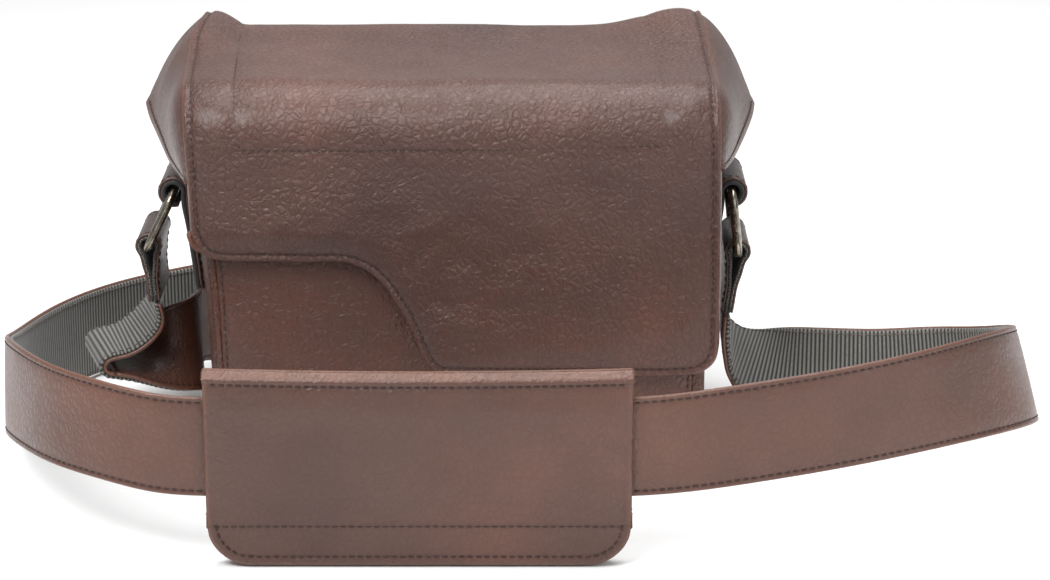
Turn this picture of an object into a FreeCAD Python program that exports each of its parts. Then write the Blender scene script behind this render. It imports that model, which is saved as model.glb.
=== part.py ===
"""Leather camera bag with a magnet flap, swinging strap rings, a shoulder strap and its sliding pad.

Millimetres.  Origin: centre of the bag's underside.  +Z up, -Y towards the front, +X right.
"""
import FreeCAD, Part
import os
from math import atan2, cos, degrees, pi, radians, sin

V = FreeCAD.Vector
Y_AXIS = V(0, 1, 0)

# ---- driving dimensions -------------------------------------------------------------
BODY_HALF_W = 130.5       # half width of the body, outside
BODY_HALF_D = 66.0        # half depth of the body, outside
WALL_TOP = 176.0          # upper edge of the body's leather walls
CORNER_R = 14.0           # vertical corners of the body
SKIN = 2.0                # body leather
FRONT_SEAM_X = 120.0      # where the side gussets meet the front and back panels
GAP = 0.4                 # clearance between soft pieces

BOARD_T = 2.2             # stiffener board in the base
LINING_T = 5.0            # foam and fabric lining
LINING_TOP = 170.0        # upper edge of the padded lining

LID_HALF_W = 136.0
LID_T = 2.2
LID_REAR_Y = 69.0
LID_REAR_Z = 202.0        # outer height at the back edge
LID_FRONT_Z = 198.5       # outer height where the front shoulder begins
LID_SHOULDER_R = 28.0
LID_REAR_R = 8.0
LID_REAR_LOW = 181.2      # lower edge of the lid at the back
FRONT_Y = -73.8           # outer face of the flap
FOLD_Z = 150.3            # line where the flap folds against the lid
FOLD_GAP = 0.3

FLAP_LOW_Z = 48.5         # lower edge of the flap on its long side
FLAP_SHORT_Z = 110.0      # lower edge of the flap on its short side
FLAP_LINING_T = 0.6
CATCH_X, CATCH_Z, CATCH_R = 2.5, 100.0, 9.0

EAR_T = 2.2
EAR_FLARE = {"left": 35.0, "right": 27.0}    # how far each ear's back corner stands out

RING_WIRE = 5.0
RING_DROP = 33.0          # between the centres of its two long bars
RING_SPAN = 58.0          # between the centres of its two short bars
RING_CORNER_R = 6.0
RING_PIVOT_Z = 133.0
RING_PIVOT_X = {"left": 149.7, "right": 143.5}
RING_TILT = {"left": 25.8, "right": 6.4}     # degrees outward from hanging straight
TAB_HALF_W = 22.5
TAB_T = 3.2
EYE_R = 2.75
ROLL_R = 7.2
TAB_LOW_Z = 76.5
TAB_HANG = {"left": 5.0, "right": 1.6}       # its lower end hangs this far off the wall
TAB_TO_STRAP = 3.5        # clear of the strap's end, which is cut slightly askew

STRAP_W = 50.0
WEBBING_W = 48.0
STRAP_LEATHER_T = 2.0
WEBBING_T = 1.7
PLY_GAP = 0.6
STRAP_STEP = 10.0         # between cross sections along the strap
STRAP_END_STEP = 1.5      # the same at its two tightly folded ends

PAD_X = (-116.5, 85.5)
PAD_H = 98.0
PAD_SKIN = 2.0
PAD_FRONT_Y = -212.5
PAD_BACK_Y = -199.0
PAD_CORNER_R = 22.0
PAD_LOW_BAND = 23.0
PAD_HIGH_BAND = 7.0

DIVIDER_X = 42.0
DIVIDER_T = 7.0
DIVIDER_TOP = 150.0

SIDES = {"left": -1, "right": 1}

# The strap's centre line from the left ring round to the right ring.
# Each station is (x, y, z of the middle, direction across the strap from its front or
# lower edge to its back or upper edge).
STRAP_ROUTE = [
    (-162.0, 0.0, 70.5, -0.06, 1.0, 0.0),
    (-163.5, -0.5, 65.0, -0.18, 0.98, 0.0),
    (-166.5, -1.5, 59.0, -0.28, 0.96, 0.0),
    (-171.0, -3.0, 53.5, -0.3, 0.95, 0.0),
    (-177.0, -5.0, 49.0, -0.3, 0.95, 0.0),
    (-184.0, -7.0, 46.0, -0.3, 0.95, 0.0),
    (-190.5, -9.0, 45.0, -0.3, 0.95, 0.0),
    (-195.0, -10.5, 43.0, -0.3, 0.95, 0.0),
    (-196.5, -11.0, 39.5, -0.3, 0.95, 0.0),
    (-195.0, -10.5, 36.0, -0.3, 0.95, 0.0),
    (-190.5, -9.0, 34.0, -0.3, 0.95, 0.0),
    (-183.0, -6.5, 33.0, -0.31, 0.95, 0.04),
    (-173.0, -3.5, 33.0, -0.3, 0.93, 0.2),
    (-163.0, -0.5, 34.0, -0.3, 0.83, 0.46),
    (-154.0, 4.0, 35.5, -0.3, 0.6, 0.74),
    (-147.5, 14.0, 36.5, -0.2, 0.2, 0.96),
    (-146.0, 34.0, 37.0, 0.0, 0.04, 1.0),
    (-147.0, 60.0, 37.0, 0.0, 0.1, 1.0),
    (-139.0, 84.0, 30.0, 0.0, 0.1, 1.0),
    (-124.0, 102.0, 26.5, 0.0, 0.03, 1.0),
    (-110.0, 112.0, 25.6, 0.0, 0.0, 1.0),
    (-105.0, 124.0, 25.6, 0.0, 0.0, 1.0),
    (-113.0, 134.0, 25.6, 0.0, 0.0, 1.0),
    (-132.0, 131.0, 25.6, 0.0, 0.0, 1.0),
    (-158.0, 115.0, 25.6, 0.0, 0.0, 1.0),
    (-184.0, 95.0, 25.6, 0.0, 0.0, 1.0),
    (-209.0, 66.0, 25.8, 0.0, 0.0, 1.0),
    (-226.0, 30.0, 26.6, 0.0, 0.03, 1.0),
    (-235.0, -12.0, 29.5, 0.0, 0.12, 1.0),
    (-234.0, -55.0, 39.5, 0.0, 0.24, 1.0),
    (-227.0, -98.0, 51.5, 0.0, 0.24, 1.0),
    (-213.0, -138.0, 59.5, 0.0, 0.16, 1.0),
    (-192.0, -172.0, 63.0, 0.0, 0.08, 1.0),
    (-164.0, -195.0, 63.0, 0.0, 0.02, 1.0),
    (-138.0, -204.5, 60.5, 0.0, 0.0, 1.0),
    (-112.0, -205.5, 59.3, 0.0, 0.0, 1.0),
    (-60.0, -205.5, 59.0, 0.0, 0.0, 1.0),
    (30.0, -205.5, 59.0, 0.0, 0.0, 1.0),
    (102.0, -205.5, 60.5, 0.0, 0.0, 1.0),
    (140.0, -206.0, 66.0, -0.05, 0.0, 1.0),
    (178.0, -203.0, 71.5, -0.08, 0.0, 1.0),
    (216.0, -191.0, 75.0, -0.12, 0.02, 1.0),
    (248.0, -170.0, 75.0, -0.18, 0.08, 1.0),
    (274.0, -138.0, 69.5, -0.24, 0.18, 1.0),
    (288.0, -98.0, 58.5, -0.26, 0.27, 1.0),
    (288.0, -58.0, 45.5, -0.2, 0.3, 1.0),
    (275.0, -26.0, 34.0, -0.1, 0.2, 1.0),
    (252.0, -8.0, 28.0, 0.0, 0.1, 1.0),
    (222.0, -2.5, 25.2, 0.0, 0.08, 1.0),
    (203.0, -1.5, 24.9, 0.02, 0.18, 0.98),
    (186.5, 0.0, 24.8, 0.05, 0.32, 0.94),
    (172.5, 1.5, 25.6, 0.12, 0.52, 0.84),
    (160.5, 1.5, 29.5, 0.18, 0.77, 0.6),
    (151.5, 1.5, 35.5, 0.16, 0.92, 0.32),
    (146.0, 1.5, 41.5, 0.12, 0.97, 0.13),
    (142.9, 0.8, 48.5, 0.05, 0.99, 0.04),
    (142.0, 0.2, 56.5, 0.01, 1.0, 0.01),
    (142.3, 0.0, 64.5, 0.0, 1.0, 0.0),
]
BEND_STATIONS = {"left": 16, "right": 50}    # the strap bends with its ring up to these


# ---- helpers ------------------------------------------------------------------------
def save(name, shape):
    """Write one node, refusing anything that is not made of valid closed solids."""
    assert shape.Solids and shape.isValid(), name
    shape.exportStep("parts/%s.step" % name)
    print("%-28s %10.1f mm3" % (name, shape.Volume))


def block(x, y, z):
    """A box from three (low, high) pairs."""
    return Part.makeBox(x[1] - x[0], y[1] - y[0], z[1] - z[0], V(x[0], y[0], z[0]))


def rounded_block(x, y, z, radius):
    """A box with rounded vertical edges."""
    box = block(x, y, z)
    upright = [e for e in box.Edges if abs(e.tangentAt(e.FirstParameter).z) > 0.9]
    return box.makeFillet(radius, upright)


def disc(x, y, z, radius, thickness):
    """A disc on the bag's front, its axis along Y, starting at y and growing to +Y."""
    return Part.makeCylinder(radius, thickness, V(x, y, z), Y_AXIS)


def extrude(points, direction):
    """Close a flat polygon and extrude it."""
    return Part.Face(Part.Wire(Part.makePolygon(points + [points[0]]))).extrude(direction)


def arc_points(cy, cz, radius, start, stop, count):
    """Points of an arc in the YZ plane, angles in degrees."""
    step = radians(stop - start) / count
    return [(cy + radius * cos(radians(start) + i * step), cz + radius * sin(radians(start) + i * step))
            for i in range(count + 1)]


def strap_route():
    """Smooth curves of the strap's middle line and upper edge, and the stations' parameters."""
    centres = [V(*s[:3]) for s in STRAP_ROUTE]
    lengths = [0.0]
    for a, b in zip(centres, centres[1:]):
        lengths.append(lengths[-1] + (b - a).Length)
    edge = [c + V(*s[3:]).normalize() * (STRAP_W / 2) for c, s in zip(centres, STRAP_ROUTE)]
    middle, upper = Part.BSplineCurve(), Part.BSplineCurve()
    middle.interpolate(Points=centres, Parameters=lengths)
    upper.interpolate(Points=edge, Parameters=lengths)
    return middle, upper, lengths


def ribbon(curves, span, step, width, inner, outer):
    """A flat band along part of the route, from `inner` to `outer` on its leather side."""
    middle, upper = curves
    count = int((span[1] - span[0]) / step)
    sections = []
    for i in range(count + 1):
        s = span[0] + (span[1] - span[0]) * i / count
        centre, tangent = middle.value(s), middle.tangent(s)[0]
        w = upper.value(s) - centre
        w = (w - tangent * w.dot(tangent)).normalize()
        normal = tangent.cross(w)
        sections.append([centre + w * (edge * width / 2) + normal * side
                         for edge, side in ((-1, inner), (1, inner), (1, outer), (-1, outer))])
    triangles = []
    for a, b in zip(sections, sections[1:]):
        for i in range(4):
            j = (i + 1) % 4
            if i < 2:
                triangles += [(a[i], b[i], b[j]), (a[i], b[j], a[j])]
            else:
                triangles += [(a[i], b[i], a[j]), (b[i], b[j], a[j])]
    for end in (sections[0], sections[-1]):
        triangles += [(end[0], end[1], end[2]), (end[0], end[2], end[3])]
    faces = [Part.Face(Part.makePolygon([p, q, r, p])) for p, q, r in triangles]
    shell = Part.Shell(faces)
    shell.sewShape()
    solid = Part.Solid(shell)
    return solid if solid.Volume > 0 else solid.reversed()


# ---- body ---------------------------------------------------------------------------
def body_panel(side):
    """Front (side -1) or back (side 1) panel between the two gussets."""
    outer, inner = side * BODY_HALF_D, side * (BODY_HALF_D - SKIN)
    half = FRONT_SEAM_X - GAP / 2
    return block((-half, half), sorted((outer, inner)), (SKIN, WALL_TOP))


def gusset(side):
    """A side wall that turns round both corners as far as the seams."""
    low, high = SKIN, WALL_TOP
    shell = rounded_block((-BODY_HALF_W, BODY_HALF_W), (-BODY_HALF_D, BODY_HALF_D), (low, high), CORNER_R)
    hollow = rounded_block((-BODY_HALF_W + SKIN, BODY_HALF_W - SKIN),
                           (-BODY_HALF_D + SKIN, BODY_HALF_D - SKIN), (low, high), CORNER_R - SKIN)
    half = block(sorted((side * FRONT_SEAM_X, side * (BODY_HALF_W + 1))),
                 (-BODY_HALF_D - 1, BODY_HALF_D + 1), (low, high))
    return shell.cut(hollow).common(half)


def rim_binding():
    """The bound upper edge of the body walls."""
    low, high = WALL_TOP + 0.2, WALL_TOP + 3.7
    proud, inside = 0.5, SKIN + 1.0
    outer = rounded_block((-BODY_HALF_W - proud, BODY_HALF_W + proud),
                          (-BODY_HALF_D - proud, BODY_HALF_D + proud), (low, high), CORNER_R)
    inner = rounded_block((-BODY_HALF_W + inside, BODY_HALF_W - inside),
                          (-BODY_HALF_D + inside, BODY_HALF_D - inside), (low, high), CORNER_R - inside)
    return outer.cut(inner)


def lining_panels():
    """Padded walls and floor inside the body."""
    gap = SKIN + GAP
    ix, iy = BODY_HALF_W - gap, BODY_HALF_D - gap
    floor_low = SKIN + BOARD_T + 2 * GAP
    floor_high = floor_low + LINING_T
    clear = CORNER_R - 3.0
    walls = {
        "lining_base": block((-ix + 4, ix - 4), (-iy + 4, iy - 4), (floor_low, floor_high)),
    }
    z = (floor_high + GAP, LINING_TOP)
    for name, s in (("front", -1), ("back", 1)):
        y = sorted((s * iy, s * (iy - LINING_T)))
        walls["lining_" + name] = block((-ix + clear, ix - clear), y, z)
    for name, s in SIDES.items():
        x = sorted((s * ix, s * (ix - LINING_T)))
        walls["lining_" + name] = block(x, (-iy + clear, iy - clear), z)
    return walls


def side_tab(side):
    """The doubled strip sewn to the body's side, its upper end rolled round the ring's upper bar."""
    s = SIDES[side]
    cx, cz = RING_PIVOT_X[side], RING_PIVOT_Z
    wall = BODY_HALF_W + 0.2
    y0, run = -TAB_HALF_W, V(0, 2 * TAB_HALF_W, 0)
    roll = Part.makeCylinder(ROLL_R, 2 * TAB_HALF_W, V(s * cx, y0, cz), Y_AXIS)

    low = wall + TAB_HANG[side]
    profile = [(cx - ROLL_R * 0.98, cz), (cx - ROLL_R * 0.3, cz - ROLL_R * 0.7), (low + TAB_T + 1.0, 104.0),
               (low + TAB_T, TAB_LOW_Z), (low, TAB_LOW_Z), (low, 88.0), (wall, 92.0), (wall, 112.0),
               (low + 1.5, 116.0)]
    hanging = extrude([V(s * x, y0, z) for x, z in profile], run)
    eye = Part.makeCylinder(EYE_R, 2 * TAB_HALF_W, V(s * cx, y0, cz), Y_AXIS)
    return roll.fuse(hanging).cut(eye).removeSplitter()


# ---- rings --------------------------------------------------------------------------
def ring_frame(side):
    """Pivot point and unit vector from the upper bar to the lower bar."""
    s = SIDES[side]
    tilt = radians(RING_TILT[side])
    return V(s * RING_PIVOT_X[side], 0, RING_PIVOT_Z), V(s * sin(tilt), 0, -cos(tilt))


def ring(side):
    """A rounded rectangle of round wire whose long bars lie along Y."""
    pivot, down = ring_frame(side)
    half, r = RING_SPAN / 2, RING_CORNER_R

    def at(y, d):
        return pivot + V(0, y, 0) + down * d

    corner = r * (1 - cos(pi / 4))
    corners = [(half, 0, -1, 1), (half, RING_DROP, -1, -1), (-half, RING_DROP, 1, -1), (-half, 0, 1, 1)]
    edges, ends = [], []
    for index, (y, d, sy, sd) in enumerate(corners):
        along_y, along_d = (y + sy * r, d), (y, d + sd * r)
        first, last = (along_y, along_d) if index % 2 == 0 else (along_d, along_y)
        edges.append(Part.Arc(at(*first), at(y + sy * corner, d + sd * corner), at(*last)).toShape())
        ends.append((first, last))
    for index in range(4):
        start, stop = ends[index][1], ends[(index + 1) % 4][0]
        edges.append(Part.LineSegment(at(*start), at(*stop)).toShape())
    path = Part.Wire(Part.__sortEdges__(edges))
    first = path.OrderedEdges[0]
    point = first.valueAt(first.FirstParameter)
    section = Part.Wire(Part.makeCircle(RING_WIRE / 2, point, first.tangentAt(first.FirstParameter)))
    return path.makePipeShell([section], True, True)


def strap_tab(side):
    """The strap's folded end: round the ring's lower bar, then two plies sewn together."""
    s = SIDES[side]
    pivot, down = ring_frame(side)
    bar = pivot + down * RING_DROP
    end_x, end_z = strap_start(side)
    aim = V(end_x - bar.x, 0, end_z + TAB_TO_STRAP - bar.z)
    length = aim.Length
    aim.normalize()
    across = V(-aim.z, 0, aim.x)
    y0 = -TAB_HALF_W
    run = V(0, 2 * TAB_HALF_W, 0)
    roll = Part.makeCylinder(ROLL_R - 0.6, 2 * TAB_HALF_W, V(bar.x, y0, bar.z), Y_AXIS)
    profile = [(0, -5.6), (9, -3.6), (length, -2.6), (length, 2.6), (9, 3.6), (0, 5.6)]
    tongue = extrude([V(bar.x, y0, bar.z) + aim * u + across * v for u, v in profile], run)
    eye = Part.makeCylinder(EYE_R, 2 * TAB_HALF_W, V(bar.x, y0, bar.z), Y_AXIS)
    return roll.fuse(tongue).cut(eye).removeSplitter()


def strap_start(side):
    """Where the strap leaves its folded end, as (x, z)."""
    station = STRAP_ROUTE[0 if side == "left" else -1]
    return station[0], station[2]


# ---- lid and flap -------------------------------------------------------------------
def lid_profile(depth):
    """The lid's section in YZ, from its back edge over the top to the fold line, `depth` inside."""
    rear_r, front_r = LID_REAR_R - depth, LID_SHOULDER_R - depth
    rear_cy, rear_cz = LID_REAR_Y - LID_REAR_R, LID_REAR_Z - LID_REAR_R
    front_cy, front_cz = FRONT_Y + LID_SHOULDER_R, LID_FRONT_Z - LID_SHOULDER_R
    slope = degrees(atan2(LID_REAR_Z - LID_FRONT_Z, rear_cy - front_cy))
    points = [(LID_REAR_Y - depth, LID_REAR_LOW)]
    points += arc_points(rear_cy, rear_cz, rear_r, 0, 90 + slope, 5)
    points += arc_points(front_cy, front_cz, front_r, 90 + slope, 180, 9)
    points.append((FRONT_Y + depth, FOLD_Z + FOLD_GAP))
    return points


def lid_layer(depth, thickness, half_width, first=0, last=None):
    """One ply of the lid between two depths under its outer face."""
    outer = lid_profile(depth)[first:last]
    inner = lid_profile(depth + thickness)[first:last]
    outline = outer + inner[::-1]
    return extrude([V(-half_width, y, z) for y, z in outline], V(2 * half_width, 0, 0))


def ear(side):
    """The lid's side flap: sewn to the lid's side edge, flaring out over the body's side."""
    s = SIDES[side]
    flare = EAR_FLARE[side]
    edge_x = LID_HALF_W + 0.3
    #           y      top z   share of flare  low z   bulge
    sections = [(62.0, 200.5, 1.0, 161.0, 4.0),
                (30.0, 200.0, 0.86, 156.5, 5.0),
                (-2.0, 199.0, 0.66, 153.5, 5.0),
                (-36.0, 196.5, 0.36, 151.5, 4.0),
                (-66.0, 181.0, 0.08, 151.0, 0.6)]
    wires = []
    for y, top_z, share, low_z, bulge in sections:
        low_x = edge_x + flare * share

        def arc(inset):
            top, low = V(s * (edge_x + EAR_T - inset), y, top_z), V(s * (low_x + EAR_T - inset), y, low_z)
            middle = (top + low) * 0.5 + V(s * bulge, 0, bulge * 0.6)
            return top, middle, low

        outer, inner = arc(0.0), arc(EAR_T)
        wires.append(Part.Wire([
            Part.Arc(*outer).toShape(), Part.LineSegment(outer[2], inner[2]).toShape(),
            Part.Arc(*inner[::-1]).toShape(), Part.LineSegment(inner[0], outer[0]).toShape()]))
    return Part.makeLoft(wires, True, False)


def flap_outline(inset):
    """Lines and arcs of the flap's asymmetric outline in XZ."""
    left, right = -LID_HALF_W + inset, LID_HALF_W - inset
    top, low, short = FOLD_Z - FOLD_GAP, FLAP_LOW_Z + inset, FLAP_SHORT_Z + inset
    corner = 16.0
    bend = corner * (1 - cos(pi / 4))
    step_x, slope_top, slope_low = -60.0, (-42.0 + inset, 98.0), (-21.0 + inset, low + 12.0)

    def p(x, z):
        return V(x, 0, z)

    edges = [
        Part.LineSegment(p(left, top), p(left, short + corner)),
        Part.Arc(p(left, short + corner), p(left + bend, short + bend), p(left + corner, short)),
        Part.LineSegment(p(left + corner, short), p(step_x, short)),
        Part.Arc(p(step_x, short), p((step_x + slope_top[0]) / 2 + 3.0, short - 3.0), p(*slope_top)),
        Part.LineSegment(p(*slope_top), p(*slope_low)),
        Part.Arc(p(*slope_low), p(slope_low[0] + 4.0, low + 4.5), p(slope_low[0] + 12.0, low)),
        Part.LineSegment(p(slope_low[0] + 12.0, low), p(right - corner, low)),
        Part.Arc(p(right - corner, low), p(right - bend, low + bend), p(right, low + corner)),
        Part.LineSegment(p(right, low + corner), p(right, top)),
        Part.LineSegment(p(right, top), p(left, top)),
    ]
    return Part.Face(Part.Wire([e.toShape() for e in edges]))


def flap_layer(depth, thickness, inset):
    """One ply of the flap between two depths behind its outer face."""
    face = flap_outline(inset)
    face.translate(V(0, FRONT_Y + depth, 0))
    return face.extrude(V(0, thickness, 0))


# ---- shoulder pad -------------------------------------------------------------------
def pad_skin(y):
    """One face of the pad, its two lower corners rounded."""
    box = block(PAD_X, (y, y + PAD_SKIN), (0, PAD_H))
    low = [e for e in box.Edges
           if abs(e.tangentAt(e.FirstParameter).y) > 0.9 and e.BoundBox.ZMax < 1.0]
    return box.makeFillet(PAD_CORNER_R, low)


def pad_welt(z, inset):
    """A filler strip between the pad's two faces."""
    y = (PAD_FRONT_Y + PAD_SKIN + GAP, PAD_BACK_Y - GAP)
    return block((PAD_X[0] + inset, PAD_X[1] - inset), y, z)


# ---- all nodes ----------------------------------------------------------------------
def body_nodes():
    base = rounded_block((-BODY_HALF_W, BODY_HALF_W), (-BODY_HALF_D, BODY_HALF_D), (0, SKIN - 0.1), CORNER_R)
    save("base_panel", base)
    board_in = 6.0
    save("base_board", rounded_block((-BODY_HALF_W + board_in, BODY_HALF_W - board_in),
                                     (-BODY_HALF_D + board_in, BODY_HALF_D - board_in),
                                     (SKIN + GAP, SKIN + GAP + BOARD_T), CORNER_R - board_in))
    save("front_panel", body_panel(-1))
    save("back_panel", body_panel(1))
    save("rim_binding", rim_binding())
    for name, solid in lining_panels().items():
        save(name, solid)
    for side, s in SIDES.items():
        save("gusset_" + side, gusset(s))
        save("side_tab_" + side, side_tab(side))
    save("body_magnet", disc(CATCH_X, -BODY_HALF_D - 2.5, CATCH_Z, CATCH_R, 2.45))
    save("body_magnet_washer", disc(CATCH_X, -BODY_HALF_D + SKIN + 0.05, CATCH_Z, CATCH_R - 1, 0.3))


def lid_nodes():
    save("lid_panel", lid_layer(0, LID_T, LID_HALF_W))
    save("lid_stiffener", lid_layer(LID_T + 0.2, 1.2, 108.0, 5, 14))
    save("lid_lining", lid_layer(LID_T + 1.6, 0.8, LID_HALF_W - 3.0, 1, -1))
    for side in SIDES:
        save("lid_ear_" + side, ear(side))


def flap_nodes():
    lining_at = LID_T + 0.1
    magnet_at = lining_at + FLAP_LINING_T + 0.1
    magnet_t = -BODY_HALF_D - 2.5 - 0.5 - (FRONT_Y + magnet_at)
    save("flap_panel", flap_layer(0, LID_T, 0.0))
    save("flap_lining", flap_layer(lining_at, FLAP_LINING_T, 3.0))
    save("flap_magnet", disc(CATCH_X, FRONT_Y + magnet_at, CATCH_Z, CATCH_R, magnet_t))


def ring_nodes():
    for side in SIDES:
        save("ring_" + side, ring(side))
        save("strap_tab_" + side, strap_tab(side))


def strap_nodes():
    middle, upper, lengths = strap_route()
    left, right = (lengths[BEND_STATIONS[side]] for side in SIDES)
    leather = (STRAP_W, PLY_GAP / 2, PLY_GAP / 2 + STRAP_LEATHER_T)
    webbing = (WEBBING_W, -PLY_GAP / 2 - WEBBING_T, -PLY_GAP / 2)
    spans = {"": (left, right), "_left_end": (0.0, left), "_right_end": (right, lengths[-1])}
    for suffix, span in spans.items():
        step = STRAP_END_STEP if suffix else STRAP_STEP
        save("strap_leather" + suffix, ribbon((middle, upper), span, step, *leather))
        save("strap_webbing" + suffix, ribbon((middle, upper), span, step, *webbing))
    print("strap length %.0f mm" % middle.length())


def pad_nodes():
    save("pad_front", pad_skin(PAD_FRONT_Y))
    save("pad_back", pad_skin(PAD_BACK_Y))
    save("pad_upper_welt", pad_welt((PAD_H - PAD_HIGH_BAND, PAD_H), 0.5))
    save("pad_lower_welt", pad_welt((1.0, PAD_LOW_BAND), PAD_CORNER_R))


def divider_nodes():
    floor = SKIN + BOARD_T + 3 * GAP + LINING_T + 0.6
    reach = BODY_HALF_D - SKIN - 2 * GAP - LINING_T - 0.6
    for side, s in SIDES.items():
        x = sorted((s * DIVIDER_X - DIVIDER_T / 2, s * DIVIDER_X + DIVIDER_T / 2))
        save("divider_" + side, block(x, (-reach, reach), (floor, DIVIDER_TOP)))


def main():
    os.makedirs("parts", exist_ok=True)
    body_nodes()
    lid_nodes()
    flap_nodes()
    ring_nodes()
    strap_nodes()
    pad_nodes()
    divider_nodes()


main()
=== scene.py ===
from math import cos, pi, radians, sin

import bmesh
import bpy
import numpy as np
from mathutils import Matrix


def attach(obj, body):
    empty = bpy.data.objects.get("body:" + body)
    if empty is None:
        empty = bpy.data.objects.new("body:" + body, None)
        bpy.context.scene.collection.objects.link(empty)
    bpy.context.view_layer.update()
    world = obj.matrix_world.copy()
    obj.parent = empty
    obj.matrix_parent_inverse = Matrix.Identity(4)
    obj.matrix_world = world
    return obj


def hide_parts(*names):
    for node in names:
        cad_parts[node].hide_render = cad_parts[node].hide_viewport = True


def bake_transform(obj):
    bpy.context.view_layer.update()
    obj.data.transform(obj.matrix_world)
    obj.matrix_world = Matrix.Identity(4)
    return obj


# Lengths below are millimetres in the bag's own frame; meshes are scaled to metres.
MM = 0.001

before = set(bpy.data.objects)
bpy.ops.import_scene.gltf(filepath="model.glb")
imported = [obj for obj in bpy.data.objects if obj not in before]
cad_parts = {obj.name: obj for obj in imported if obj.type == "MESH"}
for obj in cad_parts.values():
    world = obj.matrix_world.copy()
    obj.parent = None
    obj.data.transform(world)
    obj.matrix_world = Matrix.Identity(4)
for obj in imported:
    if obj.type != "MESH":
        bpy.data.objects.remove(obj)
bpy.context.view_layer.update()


# ---- node materials -----------------------------------------------------------------
def colour(red, green, blue):
    """Linear colour from sRGB bytes."""
    return tuple(c / 12.92 if c <= 0.04045 else ((c + 0.055) / 1.055) ** 2.4
                 for c in (red / 255, green / 255, blue / 255)) + (1.0,)


class Graph:
    """A new material and short calls that add and link its nodes."""

    def __init__(self, name):
        self.material = bpy.data.materials.new(name)
        self.material.use_nodes = True
        self.tree = self.material.node_tree
        self.shader = self.tree.nodes["Principled BSDF"]
        self.place = self.add("ShaderNodeTexCoord").outputs["Object"]

    def add(self, kind, props=None, **inputs):
        node = self.tree.nodes.new(kind)
        for key, value in (props or {}).items():
            setattr(node, key, value)
        for key, value in inputs.items():
            name = key.replace("_", " ")
            socket = node.inputs[int(name[1:])] if name[0] == "i" and name[1:].isdigit() else node.inputs[name]
            self.put(socket, value)
        return node

    def put(self, socket, value):
        if isinstance(value, bpy.types.NodeSocket):
            self.tree.links.new(value, socket)
        else:
            socket.default_value = value

    def math(self, operation, a, b=0.0, clamp=False):
        return self.add("ShaderNodeMath", {"operation": operation, "use_clamp": clamp}, i0=a, i1=b).outputs[0]

    def between(self, value, low, high, out_low=0.0, out_high=1.0):
        node = self.add("ShaderNodeMapRange", {"clamp": True}, Value=value, From_Min=low, From_Max=high,
                        To_Min=out_low, To_Max=out_high)
        return node.outputs["Result"]

    def mix(self, share, a, b):
        node = self.add("ShaderNodeMix", {"data_type": "RGBA"}, i0=share)
        self.put(node.inputs[6], a)
        self.put(node.inputs[7], b)
        return node.outputs[2]

    def noise(self, scale, detail=4.0, place=None, kind="FBM", rough=0.5, distort=0.0):
        node = self.add("ShaderNodeTexNoise", {"noise_type": kind}, Vector=place or self.place, Scale=scale,
                        Detail=detail, Roughness=rough, Distortion=distort)
        return node.outputs["Fac"]

    def cells(self, scale, feature="DISTANCE_TO_EDGE", place=None):
        node = self.add("ShaderNodeTexVoronoi", {"feature": feature}, Vector=place or self.place, Scale=scale)
        return node.outputs["Distance"]

    def attribute(self, name):
        return self.add("ShaderNodeAttribute", {"attribute_name": name}).outputs["Fac"]

    def bent(self, amount, scale):
        """The place, pushed about by noise so that patterns lose their regularity."""
        noise = self.add("ShaderNodeTexNoise", Vector=self.place, Scale=scale, Detail=2.0).outputs["Color"]
        centred = self.add("ShaderNodeVectorMath", {"operation": "SUBTRACT"}, i0=noise, i1=(0.5, 0.5, 0.5))
        scaled = self.add("ShaderNodeVectorMath", {"operation": "SCALE"}, i0=centred.outputs[0], Scale=amount)
        return self.add("ShaderNodeVectorMath", {"operation": "ADD"}, i0=self.place, i1=scaled.outputs[0]).outputs[0]

    def stretched(self, scale, turn=(0.0, 0.0, 0.0), place=None):
        return self.add("ShaderNodeMapping", Vector=place or self.place, Rotation=turn, Scale=scale).outputs[0]

    def bump(self, height, distance, strength=1.0):
        node = self.add("ShaderNodeBump", Strength=strength, Distance=distance, Height=height)
        self.put(self.shader.inputs["Normal"], node.outputs["Normal"])


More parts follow.
